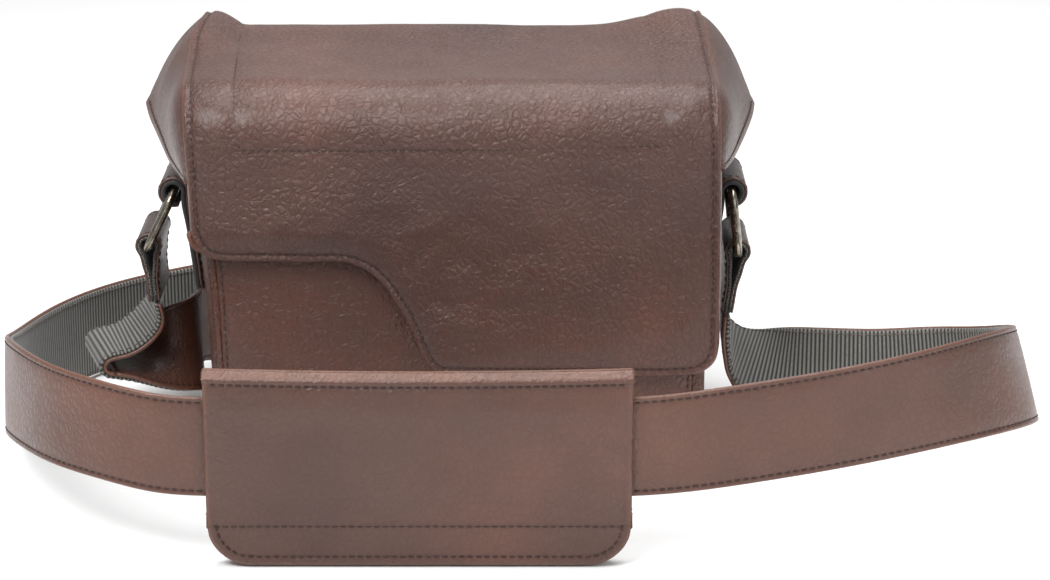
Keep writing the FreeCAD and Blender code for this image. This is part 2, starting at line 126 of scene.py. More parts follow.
def leather(name, deep, middle, pale, worn, grain=1.0, creases=1.0, rough=0.44):
    """Full-grain leather: pebbled grain, fine pale creases, cloudy colour, worn edges."""
    g = Graph(name)
    bent = g.bent(0.006, 90.0)
    pebble = g.between(g.cells(300.0, place=g.stretched((1.0, 1.0, 0.75), (0.0, 0.5, 0.0), bent)), 0.0, 0.30)
    fine = g.between(g.cells(720.0, place=bent), 0.0, 0.32)
    slanted = g.stretched((1.0, 1.0, 0.36), (0.0, 0.75, 0.0), bent)
    fold = g.noise(62.0, 7.0, place=slanted, kind="RIDGED_MULTIFRACTAL", rough=0.62, distort=0.5)
    steep = g.stretched((0.36, 1.0, 1.0), (0.0, -0.35, 0.0), bent)
    crossing = g.noise(85.0, 6.0, place=steep, kind="RIDGED_MULTIFRACTAL", rough=0.6, distort=0.7)
    patch = g.noise(13.0, 3.0, distort=0.4)
    strong = g.between(patch, 0.42, 0.62)
    weak = g.between(patch, 0.40, 0.60, 1.0, 0.15)
    ridge = g.math("MULTIPLY", g.between(fold, 0.7, 1.7), g.between(strong, 0.0, 1.0, 0.2, 1.0))
    ridge = g.math("MAXIMUM", ridge, g.math("MULTIPLY", g.between(crossing, 0.8, 1.6), weak))
    base = g.mix(g.between(g.noise(9.0, 4.0), 0.32, 0.68), deep, middle)
    base = g.mix(g.between(g.noise(45.0, 5.0), 0.40, 0.75, 0.0, 0.35), base, deep)
    base = g.mix(g.math("MULTIPLY", ridge, 0.26 * creases), base, pale)
    base = g.mix(g.between(pebble, 0.0, 0.45, 0.42 * grain, 0.0), base, deep)
    base = g.mix(g.math("MULTIPLY", g.attribute("seam"), 0.6), base, deep)
    edge = g.math("MULTIPLY", g.attribute("edge"), g.between(g.noise(60.0, 3.0), 0.3, 0.6, 0.4, 0.9))
    base = g.mix(edge, base, worn)
    g.put(g.shader.inputs["Base Color"], base)
    roughness = g.between(g.noise(30.0, 4.0), 0.3, 0.7, rough - 0.07, rough + 0.08)
    g.put(g.shader.inputs["Roughness"], g.math("ADD", roughness, g.between(pebble, 0.0, 0.6, 0.12, 0.0)))
    g.shader.inputs["Specular IOR Level"].default_value = 0.5
    g.shader.inputs["Coat Weight"].default_value = 0.28
    g.shader.inputs["Coat Roughness"].default_value = 0.3
    height = g.math("ADD", g.math("MULTIPLY", pebble, 0.60 * grain), g.math("MULTIPLY", fine, 0.20 * grain))
    height = g.math("ADD", height, g.math("MULTIPLY", ridge, 0.28 * creases))
    height = g.math("ADD", height, g.math("MULTIPLY", g.noise(48.0, 5.0), 2.8 * creases))
    g.bump(height, 0.00075, 1.0)
    return g.material


def webbing_material(name, dark, pale):
    """Woven nylon band with ribs across it."""
    g = Graph(name)
    along = g.attribute("along")
    rib = g.math("SINE", g.math("MULTIPLY", along, 2 * pi / RIB))
    yarn = g.noise(1900.0, 2.0, place=g.stretched((1.0, 1.0, 0.35)))
    tint = g.between(rib, -0.75, 0.75)
    tint = g.math("MULTIPLY", tint, g.between(yarn, 0.3, 0.7, 0.6, 1.0))
    base = g.mix(tint, dark, pale)
    base = g.mix(g.between(g.noise(12.0, 3.0), 0.35, 0.7, 0.0, 0.25), base, dark)
    g.put(g.shader.inputs["Base Color"], base)
    g.put(g.shader.inputs["Roughness"], g.between(yarn, 0.3, 0.7, 0.62, 0.8))
    g.shader.inputs["Sheen Weight"].default_value = 0.25
    g.bump(g.math("ADD", g.math("MULTIPLY", rib, 0.5), g.math("MULTIPLY", yarn, 0.6)), 0.00022, 0.8)
    return g.material


def cloth(name, dark, pale, weave=1400.0):
    """Close-woven lining fabric."""
    g = Graph(name)
    warp = g.noise(weave, 1.0, place=g.stretched((1.0, 1.0, 0.12)))
    weft = g.noise(weave, 1.0, place=g.stretched((0.12, 0.12, 1.0)))
    thread = g.math("MAXIMUM", warp, weft)
    base = g.mix(g.between(thread, 0.42, 0.7), dark, pale)
    base = g.mix(g.between(g.noise(18.0, 3.0), 0.35, 0.7, 0.0, 0.3), base, dark)
    g.put(g.shader.inputs["Base Color"], base)
    g.put(g.shader.inputs["Roughness"], g.between(thread, 0.4, 0.7, 0.95, 0.8))
    g.shader.inputs["Sheen Weight"].default_value = 0.3
    g.bump(thread, 0.0003, 0.7)
    return g.material


def metal(name, dark, pale, rough=0.26):
    """Dark plated steel with fine scuffs and lighter rubbed places."""
    g = Graph(name)
    cloud = g.noise(160.0, 4.0)
    scratch = g.noise(700.0, 3.0, place=g.stretched((1.0, 0.08, 1.0)))
    base = g.mix(g.between(cloud, 0.35, 0.68), dark, pale)
    g.put(g.shader.inputs["Base Color"], base)
    g.put(g.shader.inputs["Roughness"], g.between(scratch, 0.3, 0.7, rough - 0.06, rough + 0.14))
    g.shader.inputs["Metallic"].default_value = 1.0
    g.bump(scratch, 0.00001, 0.2)
    return g.material


def thread_material(name, dark, pale):
    """Twisted sewing thread."""
    g = Graph(name)
    twist = g.noise(2600.0, 2.0, place=g.stretched((1.0, 0.5, 1.0), (0.3, 0.5, 0.6)))
    g.put(g.shader.inputs["Base Color"], g.mix(g.between(twist, 0.35, 0.65), dark, pale))
    g.put(g.shader.inputs["Roughness"], g.between(twist, 0.3, 0.7, 0.5, 0.75))
    g.bump(twist, 0.0001, 0.6)
    return g.material


def pulp_board(name, dark, pale):
    """Grey pressed board."""
    g = Graph(name)
    fibre = g.noise(500.0, 5.0, place=g.stretched((1.0, 0.3, 1.0)))
    g.put(g.shader.inputs["Base Color"], g.mix(g.between(fibre, 0.3, 0.7), dark, pale))
    g.put(g.shader.inputs["Roughness"], g.between(fibre, 0.3, 0.7, 0.8, 0.95))
    g.bump(fibre, 0.0002, 0.5)
    return g.material


RIB = 2.3                # pitch of the webbing's ribs

BAG_LEATHER = leather("bag_leather", colour(62, 34, 25), colour(92, 54, 41), colour(142, 98, 80),
                      colour(104, 62, 46))
SKIN_LEATHER = leather("body_leather", colour(70, 38, 27), colour(94, 53, 38), colour(128, 84, 66),
                       colour(98, 57, 41), creases=0.55)
STRAP_LEATHER = leather("strap_leather", colour(70, 41, 30), colour(97, 60, 45), colour(134, 92, 74),
                        colour(100, 62, 46), grain=0.5, creases=0.4, rough=0.42)
PAD_LEATHER = leather("pad_leather", colour(66, 38, 28), colour(90, 54, 41), colour(126, 84, 68),
                      colour(104, 66, 48), grain=0.6, creases=0.6, rough=0.42)
TAB_LEATHER = leather("tab_leather", colour(52, 35, 30), colour(74, 53, 47), colour(116, 92, 82),
                      colour(84, 58, 48), grain=0.5, creases=0.4, rough=0.38)
WEBBING = webbing_material("webbing", colour(24, 24, 23), colour(136, 133, 127))
DARK_WEBBING = webbing_material("dark_webbing", colour(26, 24, 24), colour(54, 50, 49))
THREAD = thread_material("dark_thread", colour(38, 22, 19), colour(62, 38, 31))
PALE_THREAD = thread_material("pale_thread", colour(136, 126, 116), colour(180, 170, 158))
GREY_THREAD = thread_material("grey_thread", colour(70, 60, 56), colour(110, 98, 90))
RING_METAL = metal("ring_metal", colour(104, 98, 88), colour(172, 164, 150), 0.19)
MAGNET_STEEL = metal("magnet_steel", colour(120, 120, 120), colour(170, 170, 168), 0.32)
LINING = cloth("lining", colour(44, 44, 46), colour(84, 84, 86))
BOARD = pulp_board("board", colour(96, 90, 82), colour(134, 126, 114))

for node, material in {"base_board": BOARD, "lid_stiffener": BOARD, "body_magnet": MAGNET_STEEL,
                       "body_magnet_washer": MAGNET_STEEL, "flap_magnet": MAGNET_STEEL}.items():
    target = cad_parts[node]
    if not target.data.materials:
        target.data.materials.append(material)
    for place in target.material_slots:
        place.material = material


# ---- mesh making --------------------------------------------------------------------
def unit(v):
    """Vectors made one long."""
    v = np.asarray(v, float)
    return v / np.maximum(np.linalg.norm(v, axis=-1, keepdims=True), 1e-9)


def smooth_step(x, low=0.0, high=1.0):
    """0 below `low`, 1 above `high`, smooth between."""
    t = np.clip((np.asarray(x, float) - low) / (high - low), 0, 1)
    return t * t * (3 - 2 * t)


def piece(name, verts, faces, material, rides, slot, replaces=(), **attributes):
    """A closed mesh in millimetres as a named piece that rides on a body, or is left unparented when given two."""
    mesh = bpy.data.meshes.new(name)
    mesh.from_pydata((np.asarray(verts, float) * MM).tolist(), [], faces)
    work = bmesh.new()
    work.from_mesh(mesh)
    bmesh.ops.recalc_face_normals(work, faces=work.faces)
    work.to_mesh(mesh)
    work.free()
    mesh.polygons.foreach_set("use_smooth", [True] * len(mesh.polygons))
    for key, values in attributes.items():
        mesh.attributes.new(key, "FLOAT", "POINT").data.foreach_set("value", np.asarray(values, np.float32))
    mesh.materials.append(material)
    obj = bpy.data.objects.new(name, mesh)
    bpy.context.scene.collection.objects.link(obj)
    if isinstance(rides, str):
        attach(obj, rides)
    else:
        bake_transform(obj)
    if replaces:
        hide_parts(*replaces)
    return obj


def grid_normals(points):
    """Which way each place on a grid faces."""
    return unit(np.cross(np.gradient(points, axis=0), np.gradient(points, axis=1)))


def quads(rows, columns, offset=0, wrap_columns=False, wrap_rows=False):
    i = np.arange(rows if wrap_rows else rows - 1)
    j = np.arange(columns if wrap_columns else columns - 1)
    a, b = np.meshgrid(i, j, indexing="ij")
    c, d = (a + 1) % rows, (b + 1) % columns
    return (offset + np.stack([a * columns + b, c * columns + b, c * columns + d, a * columns + d], -1)
            ).reshape(-1, 4).tolist()


def rim_of(rows, columns):
    """The grid places round the edge of a sheet, in order."""
    return ([(i, 0) for i in range(rows)] + [(rows - 1, j) for j in range(1, columns)]
            + [(i, columns - 1) for i in range(rows - 2, -1, -1)] + [(0, j) for j in range(columns - 2, 0, -1)])


def slab(name, outer, thickness, material, rides, slot, replaces=(), away=None, inside=None, seam=None):
    """A closed sheet with rounded edges: `outer` is its shown face, `away` a direction it faces."""
    rows, columns = outer.shape[:2]
    normal = grid_normals(outer)
    if away is not None and (normal.reshape(-1, 3) @ np.asarray(away, float)).mean() < 0:
        normal = -normal
    inner = outer - normal * thickness
    loop = rim_of(rows, columns)
    i, j = np.array(loop).T
    back_i, back_j = np.clip(i, 1, rows - 2), np.clip(j, 1, columns - 2)
    out = unit(outer[i, j] - outer[back_i, back_j])
    middle = outer[i, j] - normal[i, j] * (thickness / 2) + out * (thickness * 0.35)
    count, rim = rows * columns, len(loop)
    faces = quads(rows, columns) + quads(rows, columns, count)
    top = (i * columns + j).tolist()
    for k in range(rim):
        n = (k + 1) % rim
        a, b, c, d = top[k], top[n], 2 * count + k, 2 * count + n
        faces += [[b, a, c, d], [d, c, count + a, count + b]]
    if inside is None:
        step_u = np.linalg.norm(np.diff(outer, axis=0), axis=2)
        step_v = np.linalg.norm(np.diff(outer, axis=1), axis=2)
        run_u = np.vstack([np.zeros(columns), np.cumsum(step_u, 0)])
        run_v = np.hstack([np.zeros((rows, 1)), np.cumsum(step_v, 1)])
        inside = np.minimum(np.minimum(run_u, run_u[-1:] - run_u), np.minimum(run_v, run_v[:, -1:] - run_v))
    edge = bell(inside, 0.0, 1.3).ravel()
    seam = np.zeros(count) if seam is None else seam.ravel()
    verts = np.vstack([outer.reshape(-1, 3), inner.reshape(-1, 3), middle])
    return piece(name, verts, faces, material, rides, slot, replaces,
                 edge=np.concatenate([edge, edge, np.ones(rim)]),
                 seam=np.concatenate([seam, np.zeros(count + rim)]))


def sweep(name, centres, across, upward, section, material, rides, slot, replaces=(), closed=False, **attributes):
    """A band: the closed `section` of (across, up) pairs carried along a line of centres."""
    section = np.asarray(section, float)
    if section.ndim == 2:
        section = np.broadcast_to(section, (len(centres),) + section.shape)
    verts = (centres[:, None] + across[:, None] * section[..., :1] + upward[:, None] * section[..., 1:])
    rows, columns = verts.shape[:2]
    faces = quads(rows, columns, wrap_columns=True, wrap_rows=closed)
    if not closed:
        faces += [list(range(columns)), list(range((rows - 1) * columns, rows * columns))]
    spread = {key: np.broadcast_to(np.asarray(v, float), (rows, columns)).ravel() if np.ndim(v) != 2
              else np.asarray(v, float).ravel() for key, v in attributes.items()}
    return piece(name, verts.reshape(-1, 3), faces, material, rides, slot, replaces, **spread)


def along(points, step, *others):
    """A line resampled at an even spacing, with other values per point carried along."""
    points = np.asarray(points, float)
    run = run_length(points)
    at = np.linspace(0, run[-1], max(2, int(round(run[-1] / step)) + 1))
    columns = [np.stack([np.interp(at, run, np.asarray(v)[:, k]) for k in range(3)], 1) for v in (points,) + others]
    return columns if others else columns[0]


def stitches(name, lines, material, rides, slot=None, pitch=4.0, length=2.9, width=0.75, height=0.4, slant=0.0):
    """Rows of separate stitches: each line is (points, surface normals)."""
    verts, faces = [], []
    stations = [(-0.5, 0.25, -0.35), (-0.36, 0.8, 0.15), (0.0, 1.0, 0.45), (0.36, 0.8, 0.15), (0.5, 0.25, -0.35)]
    angles = np.arange(5) * 2 * pi / 5
    for points, normals in lines:
        points, normals = along(points, pitch, normals)
        mid, normals = (points[1:] + points[:-1]) / 2, unit(normals[1:] + normals[:-1])
        tangent = unit(points[1:] - points[:-1])
        side = unit(np.cross(normals, tangent))
        if slant:
            tangent = unit(tangent + side * slant * np.where(np.arange(len(mid)) % 2, 1, -1)[:, None])
            side = unit(np.cross(normals, tangent))
        for m, t, s, n in zip(mid, tangent, side, normals):
            start = len(verts)
            for u, size, lift in stations:
                centre = m + t * (u * length) + n * (lift * height)
                verts += [centre + s * (cos(a) * width / 2 * size) + n * (sin(a) * height * size) for a in angles]
            for k in range(len(stations) - 1):
                for q in range(5):
                    a, b = start + 5 * k + q, start + 5 * k + (q + 1) % 5
                    faces.append([a, a + 5, b + 5, b])
            faces += [[start + q for q in range(5)], [start + 20 + q for q in range(4, -1, -1)]]
    return piece(name, np.array(verts), faces, material, rides, slot)


def run_length(points):
    """Distance along a line at each of its points."""
    return np.concatenate([[0], np.cumsum(np.linalg.norm(np.diff(points, axis=0), axis=1))])


def paired(resample, points):
    """A line of pairs resampled every millimetre by `along` or `through`."""
    return resample(np.pad(np.asarray(points, float), ((0, 0), (0, 1))), 1.0)[:, :2]


def bell(x, centre, width):
    """A smooth hump of height one."""
    return np.exp(-((x - centre) / width) ** 2)


def oval(half_a, half_b, power_a=1.0, power_b=1.0, sides=16):
    """A closed section: an ellipse, squarer as its powers fall."""
    return [(half_a * np.sign(cos(a)) * abs(cos(a)) ** power_a, half_b * np.sign(sin(a)) * abs(sin(a)) ** power_b)
            for a in np.linspace(0, 2 * pi, sides + 1)[:-1]]


def natural(knots, values, at):
    """Natural cubic spline through values at knots."""
    knots, values = np.asarray(knots, float), np.asarray(values, float)
    h = np.diff(knots)
    n = len(knots)
    system, right = np.eye(n), np.zeros_like(values)
    for k in range(1, n - 1):
        system[k, k - 1:k + 2] = h[k - 1], 2 * (h[k - 1] + h[k]), h[k]
        right[k] = 6 * ((values[k + 1] - values[k]) / h[k] - (values[k] - values[k - 1]) / h[k - 1])
    second = np.linalg.solve(system, right)
    k = np.clip(np.searchsorted(knots, at, side="right") - 1, 0, n - 2)
    shape = (-1,) + (1,) * (values.ndim - 1)
    a, b, hk = (knots[k + 1] - at).reshape(shape), (at - knots[k]).reshape(shape), h[k].reshape(shape)
    return ((second[k] * a ** 3 + second[k + 1] * b ** 3) / (6 * hk)
            + (values[k] / hk - second[k] * hk / 6) * a + (values[k + 1] / hk - second[k + 1] * hk / 6) * b)


def through(points, step):
    """A smooth line through given points, resampled."""
    points = np.asarray(points, float)
    run = run_length(points)
    return natural(run, points, np.linspace(0, run[-1], max(8, int(run[-1] / step))))


def ripple(a, b, scale, seed):
    """Gentle hand-made unevenness: a few crossed waves, fixed by a seed."""
    rng = np.random.default_rng(seed)
    total = np.zeros(np.broadcast(a, b).shape)
    for _ in range(7):
        angle, phase, size = rng.uniform(0, 2 * pi), rng.uniform(0, 2 * pi), rng.uniform(0.6, 1.6)
        total += np.sin((a * cos(angle) + b * sin(angle)) * size * 2 * pi / scale + phase)
    return total / 7


# ---- camera and light ---------------------------------------------------------------
def stage_and_light():
    """Camera, paper floor and lamps."""
    scene = bpy.context.scene
    camera_data = bpy.data.cameras.new("camera")
    camera_data.lens, camera_data.sensor_width = 102.86, 36.0
    camera_data.clip_start, camera_data.clip_end = 0.05, 30.0
    camera = bpy.data.objects.new("camera", camera_data)
    camera.location = (0.0348, -1.5398, 0.5576)
    camera.rotation_euler = (radians(72.5), 0.0, 0.0)
    scene.collection.objects.link(camera)
    scene.camera = camera

    g = Graph("floor_paper")
    g.put(g.shader.inputs["Base Color"], g.mix(g.between(g.noise(6.0, 3.0), 0.3, 0.7), (0.86, 0.86, 0.86, 1.0),
                                               (0.88, 0.88, 0.88, 1.0)))
    g.put(g.shader.inputs["Roughness"], g.between(g.noise(300.0, 3.0), 0.3, 0.7, 0.75, 0.85))
    rows = through([(0, -2500, -0.6), (0, 1400, -0.6), (0, 2300, 120), (0, 2800, 900), (0, 3000, 2600)], 60.0)
    x = np.linspace(-3500, 3500, 30)
    floor = np.stack([np.broadcast_to(x[:, None], (30, len(rows))), np.broadcast_to(rows[:, 1], (30, len(rows))),
                      np.broadcast_to(rows[:, 2], (30, len(rows)))], -1)
    floor[..., 2] = np.where(floor[..., 1] < 1400, -0.6, floor[..., 2])
    mesh = bpy.data.meshes.new("floor")
    mesh.from_pydata((floor.reshape(-1, 3) * MM).tolist(), [], quads(30, len(rows)))
    mesh.polygons.foreach_set("use_smooth", [True] * len(mesh.polygons))
    mesh.materials.append(g.material)
    obj = bpy.data.objects.new("floor", mesh)
    scene.collection.objects.link(obj)

    world = bpy.data.worlds.new("studio")
    world.use_nodes = True
    world.node_tree.nodes["Background"].inputs["Color"].default_value = (1.0, 1.0, 1.0, 1.0)
    world.node_tree.nodes["Background"].inputs["Strength"].default_value = 0.42
    scene.world = world
    scene.view_settings.view_transform = "Standard"

    for name, place, target, size, power in (
            ("key", (-0.55, -0.85, 1.25), (0.0, 0.0, 0.1), 0.7, 20.0),
            ("fill", (1.1, -1.1, 0.7), (0.0, 0.0, 0.1), 1.2, 8.0),
            ("top", (0.2, 0.25, 1.6), (0.0, 0.0, 0.1), 1.3, 26.0)):
        light = bpy.data.lights.new(name, "AREA")
        light.size, light.energy = size, power
        lamp = bpy.data.objects.new(name, light)
        lamp.location = place
        aim = np.array(target) - np.array(place)
        lamp.rotation_euler = (np.arctan2(np.hypot(aim[0], aim[1]), -aim[2]), 0.0, np.arctan2(aim[0], -aim[1]) + pi)
        scene.collection.objects.link(lamp)


stage_and_light()


# ---- shoulder strap -----------------------------------------------------------------
# Middle of the strap from the left ring to the right one, then the way across it.
STRAP_ROUTE = np.array([
    (-162.0, 0.0, 70.5, -0.06, 1.0, 0.0),
    (-163.5, -0.5, 65.0, -0.18, 0.98, 0.0),
    (-166.5, -1.5, 59.0, -0.28, 0.96, 0.0),
    (-171.0, -3.0, 53.5, -0.3, 0.95, 0.0),
    (-177.0, -5.0, 49.0, -0.3, 0.95, 0.0),
    (-184.0, -7.0, 46.0, -0.3, 0.95, 0.0),
    (-190.5, -9.0, 45.0, -0.3, 0.95, 0.0),
    (-195.0, -10.5, 43.0, -0.3, 0.95, 0.0),
    (-196.5, -11.0, 39.5, -0.3, 0.95, 0.0),
    (-195.0, -10.5, 36.0, -0.3, 0.95, 0.0),
    (-190.5, -9.0, 34.0, -0.3, 0.95, 0.0),
    (-183.0, -6.5, 33.0, -0.31, 0.95, 0.04),
    (-173.0, -3.5, 33.0, -0.3, 0.93, 0.2),
    (-163.0, -0.5, 34.0, -0.3, 0.83, 0.46),
    (-154.0, 4.0, 35.5, -0.3, 0.6, 0.74),
    (-147.5, 14.0, 36.5, -0.2, 0.2, 0.96),
    (-146.0, 34.0, 37.0, 0.0, 0.04, 1.0),
    (-147.0, 60.0, 37.0, 0.0, 0.1, 1.0),
    (-139.0, 84.0, 30.0, 0.0, 0.1, 1.0),
    (-124.0, 102.0, 26.5, 0.0, 0.03, 1.0),
    (-110.0, 112.0, 25.6, 0.0, 0.0, 1.0),
    (-105.0, 124.0, 25.6, 0.0, 0.0, 1.0),
    (-113.0, 134.0, 25.6, 0.0, 0.0, 1.0),
    (-132.0, 131.0, 25.6, 0.0, 0.0, 1.0),
    (-158.0, 115.0, 25.6, 0.0, 0.0, 1.0),
    (-184.0, 95.0, 25.6, 0.0, 0.0, 1.0),
    (-209.0, 66.0, 25.8, 0.0, 0.0, 1.0),
    (-226.0, 30.0, 26.6, 0.0, 0.03, 1.0),
    (-235.0, -12.0, 29.5, 0.0, 0.12, 1.0),
    (-234.0, -55.0, 39.5, 0.0, 0.24, 1.0),
    (-227.0, -98.0, 51.5, 0.0, 0.24, 1.0),
    (-213.0, -138.0, 59.5, 0.0, 0.16, 1.0),
    (-192.0, -172.0, 63.0, 0.0, 0.08, 1.0),
    (-164.0, -195.0, 63.0, 0.0, 0.02, 1.0),
    (-138.0, -204.5, 60.5, 0.0, 0.0, 1.0),
    (-112.0, -205.5, 59.3, 0.0, 0.0, 1.0),
    (-60.0, -205.5, 59.0, 0.0, 0.0, 1.0),
    (30.0, -205.5, 59.0, 0.0, 0.0, 1.0),
    (102.0, -205.5, 60.5, 0.0, 0.0, 1.0),
    (140.0, -206.0, 66.0, -0.05, 0.0, 1.0),
    (178.0, -203.0, 71.5, -0.08, 0.0, 1.0),
    (216.0, -191.0, 75.0, -0.12, 0.02, 1.0),
    (248.0, -170.0, 75.0, -0.18, 0.08, 1.0),
    (274.0, -138.0, 69.5, -0.24, 0.18, 1.0),
    (288.0, -98.0, 58.5, -0.26, 0.27, 1.0),
    (288.0, -58.0, 45.5, -0.2, 0.3, 1.0),
    (275.0, -26.0, 34.0, -0.1, 0.2, 1.0),
    (252.0, -8.0, 28.0, 0.0, 0.1, 1.0),
    (222.0, -2.5, 25.2, 0.0, 0.08, 1.0),
    (203.0, -1.5, 24.9, 0.02, 0.18, 0.98),
    (186.5, 0.0, 24.8, 0.05, 0.32, 0.94),
    (172.5, 1.5, 25.6, 0.12, 0.52, 0.84),
    (160.5, 1.5, 29.5, 0.18, 0.77, 0.6),
    (151.5, 1.5, 35.5, 0.16, 0.92, 0.32),
    (146.0, 1.5, 41.5, 0.12, 0.97, 0.13),
    (142.9, 0.8, 48.5, 0.05, 0.99, 0.04),
    (142.0, 0.2, 56.5, 0.01, 1.0, 0.01),
    (142.3, 0.0, 64.5, 0.0, 1.0, 0.0),
])
STRAP_HALF = 25.0
# How far from the strap's middle its two rows of stitches lie.
STRAP_SEAM = 22.2
# The loop, which stays with the bag, runs between these two stations; the ends run on to the rings.
STRAP_CUTS = (10, 53)


def strap_line(at):
    """Centre, across and leather-side directions at distances along the strap."""
    centres = STRAP_ROUTE[:, :3]
    run = run_length(centres)
    edge = centres + unit(STRAP_ROUTE[:, 3:]) * STRAP_HALF
    middle, upper = natural(run, centres, at), natural(run, edge, at)
    tangent = unit(natural(run, centres, at + 0.05) - natural(run, centres, at - 0.05))
    across = upper - middle
    across = unit(across - tangent * (across * tangent).sum(1, keepdims=True))
    return middle, across, unit(np.cross(tangent, across))


def strap():
    """The strap's two plies and their stitches, in three lengths."""
    run = run_length(STRAP_ROUTE[:, :3])
    left, right = run[STRAP_CUTS[0]], run[STRAP_CUTS[1]]
    spans = {
        "left_end": ((0.05, left), ("bag", "left_ring", (-0.165, 0, 0.037), (-0.165, 0, 0.068)),
                     ("strap_leather_left_end",), ("strap_webbing_left_end",)),
        "loop": ((left, right), "bag", ("strap_leather",), ("strap_webbing",)),
        "right_end": ((right, run[-1] - 0.05), ("bag", "right_ring", (0.143, 0, 0.0365), (0.143, -0.0056, 0.0553)),
                      ("strap_leather_right_end",), ("strap_webbing_right_end",)),
    }
    top = [(-25.0, 1.0), (-24.7, 1.9), (-24.0, 2.3), (-23.4, 2.25), (-22.6, 1.92), (-22.2, 1.85), (-21.6, 1.95),
           (-20.4, 2.3), (-15.0, 2.42), (-8.0, 2.5), (0.0, 2.52)]
    top += [(-a, b) for a, b in top[-2::-1]]
    section = np.array(top + [(24.8, 0.25), (22.0, 0.1), (0.0, 0.1), (-22.0, 0.1), (-24.8, 0.25)])
    inset = STRAP_HALF - np.abs(section[:, 0])
    edge = bell(inset, 0.0, 1.0)
    seam = bell(inset, 2.8, 0.9) * (section[:, 1] > 1)
    for name, ((start, stop), rides, leather_nodes, webbing_nodes) in spans.items():
        at = np.linspace(start, stop, int((stop - start) / (1.6 if "end" in name else 3.2)))
        centres, across, up = strap_line(at)
        sweep("strap_leather_" + name, centres, across, up, section, STRAP_LEATHER, rides, "strap_leather",
              leather_nodes, edge=edge, seam=seam)
        at = np.arange(start, stop, RIB / 4)
        at = np.append(at[at < stop - 0.2], stop)
        centres, across, up = strap_line(at)
        rib = 0.16 * np.sin(at * 2 * pi / RIB)[:, None]
        flat = np.array([(-23.9, -0.05), (0, -0.02), (23.9, -0.05), (24.2, -0.9), (23.7, -1.6), (22.0, -1.75),
                         (12.0, -1.75), (0, -1.75), (-12.0, -1.75), (-22.0, -1.75), (-23.7, -1.6), (-24.2, -0.9)])
        shape = np.broadcast_to(flat, (len(at),) + flat.shape).copy()
        shape[:, 5:10, 1] += rib
        shape[:, [4, 10], 1] += rib * 0.6
        sweep("strap_webbing_" + name, centres, across, up, shape, WEBBING, rides, "webbing",
              webbing_nodes, along=at[:, None] * np.ones(len(flat)))
        at = np.linspace(start + 1.5, stop - 1.5, int((stop - start) / 1.6))
        centres, across, up = strap_line(at)
        for label, lift, facing, thread in (("strap_stitches_", 1.95, 1, THREAD),
                                            ("strap_back_stitches_", -1.85, -1, GREY_THREAD)):
            rows = [(centres + across * a + up * lift, up * facing) for a in (-STRAP_SEAM, STRAP_SEAM)]
            stitches(label + name, rows, thread, rides)


strap()


# ---- lid and flap: one sheet --------------------------------------------------------
FOLD_Z, FRONT_Y = 150.3, -73.8
REAR_Y, REAR_Z, REAR_LOW, REAR_R = 69.0, 202.0, 181.2, 9.0
SHOULDER_R, SHOULDER_Z = 30.0, 198.5


def lid_path():
    """The sheet's middle section: up the back, over the top, down the front to the fold and on."""
    rear = [(REAR_Y, z) for z in np.linspace(REAR_LOW, REAR_Z - REAR_R, 9)]
    rear += [(REAR_Y - REAR_R + REAR_R * cos(a), REAR_Z - REAR_R + REAR_R * sin(a))
             for a in np.linspace(0, pi / 2, 12)[1:]]
    cy, cz = FRONT_Y + SHOULDER_R, SHOULDER_Z - SHOULDER_R
    top = [(y, REAR_Z - (REAR_Z - SHOULDER_Z) * (REAR_Y - REAR_R - y) / (REAR_Y - REAR_R - cy))
           for y in np.linspace(REAR_Y - REAR_R, cy, 40)[1:]]
    shoulder = [(cy - SHOULDER_R * sin(a), cz + SHOULDER_R * cos(a)) for a in np.linspace(0, pi / 2, 30)[1:]]
    front = [(FRONT_Y, z) for z in np.linspace(cz, -20.0, 60)[1:]]
    points = np.array(rear + top + shoulder + front)
    run = run_length(points)
    return run, points


PATH_RUN, PATH = lid_path()
FOLD_S = float(np.interp(-FOLD_Z, -PATH[30:, 1], PATH_RUN[30:]))


def s_of_z(z):
    """Distance down the sheet of a height on its front."""
    return FOLD_S + FOLD_Z - np.asarray(z, float)


# Distance down the sheet, then where its left and right edges lie.
EDGE_LINES = np.array([(0, -138.0, 131.0), (25, -140.0, 131.0), (60, -143.5, 133.0), (100, -142.0, 134.0),
                       (150, -139.0, 134.0), (196, -136.6, 134.8), (240, -135.4, 135.2), (300, -135.0, 135.0)])
FLAP_LINE = np.array([(-1.0, 126.0), (-0.985, 119.5), (-0.94, 112.6), (-0.87, 110.6), (-0.72, 110.3), (-0.52, 110.0),
                      (-0.42, 109.6), (-0.36, 106.8), (-0.30, 100.5), (-0.25, 91.5), (-0.20, 79.5), (-0.155, 66.0),
                      (-0.12, 55.5), (-0.08, 50.0), (-0.02, 48.8), (0.30, 48.4), (0.62, 48.2), (0.86, 48.6),
                      (0.94, 50.8), (0.985, 56.5), (1.0, 66.0)])


# A place well down the flap, where its width is taken.
FLAP_S = 250.0


def edges_at(s):
    """Where the sheet's left and right edges lie."""
    return (np.interp(s, EDGE_LINES[:, 0], EDGE_LINES[:, 1]), np.interp(s, EDGE_LINES[:, 0], EDGE_LINES[:, 2]))


def sheet_x(u, s):
    """Sideways place for a share `u` of the sheet's width, -1 to 1."""
    left, right = edges_at(s)
    return left + (right - left) * (np.asarray(u) + 1) / 2


def crease(x, s, start, stop, width, depth):
    """A soft fold line between two places on the sheet."""
    (x0, z0), (x1, z1) = start, stop
    a, b = np.array([x0, float(s_of_z(z0))]), np.array([x1, float(s_of_z(z1))])
    d = b - a
    t = ((x - a[0]) * d[0] + (s - a[1]) * d[1]) / (d @ d)
    near = np.clip(t, 0, 1)
    away = np.hypot(x - a[0] - near * d[0], s - a[1] - near * d[1])
    return depth * bell(away, 0.0, width) * np.sin(pi * np.clip(near, 0.05, 0.95))


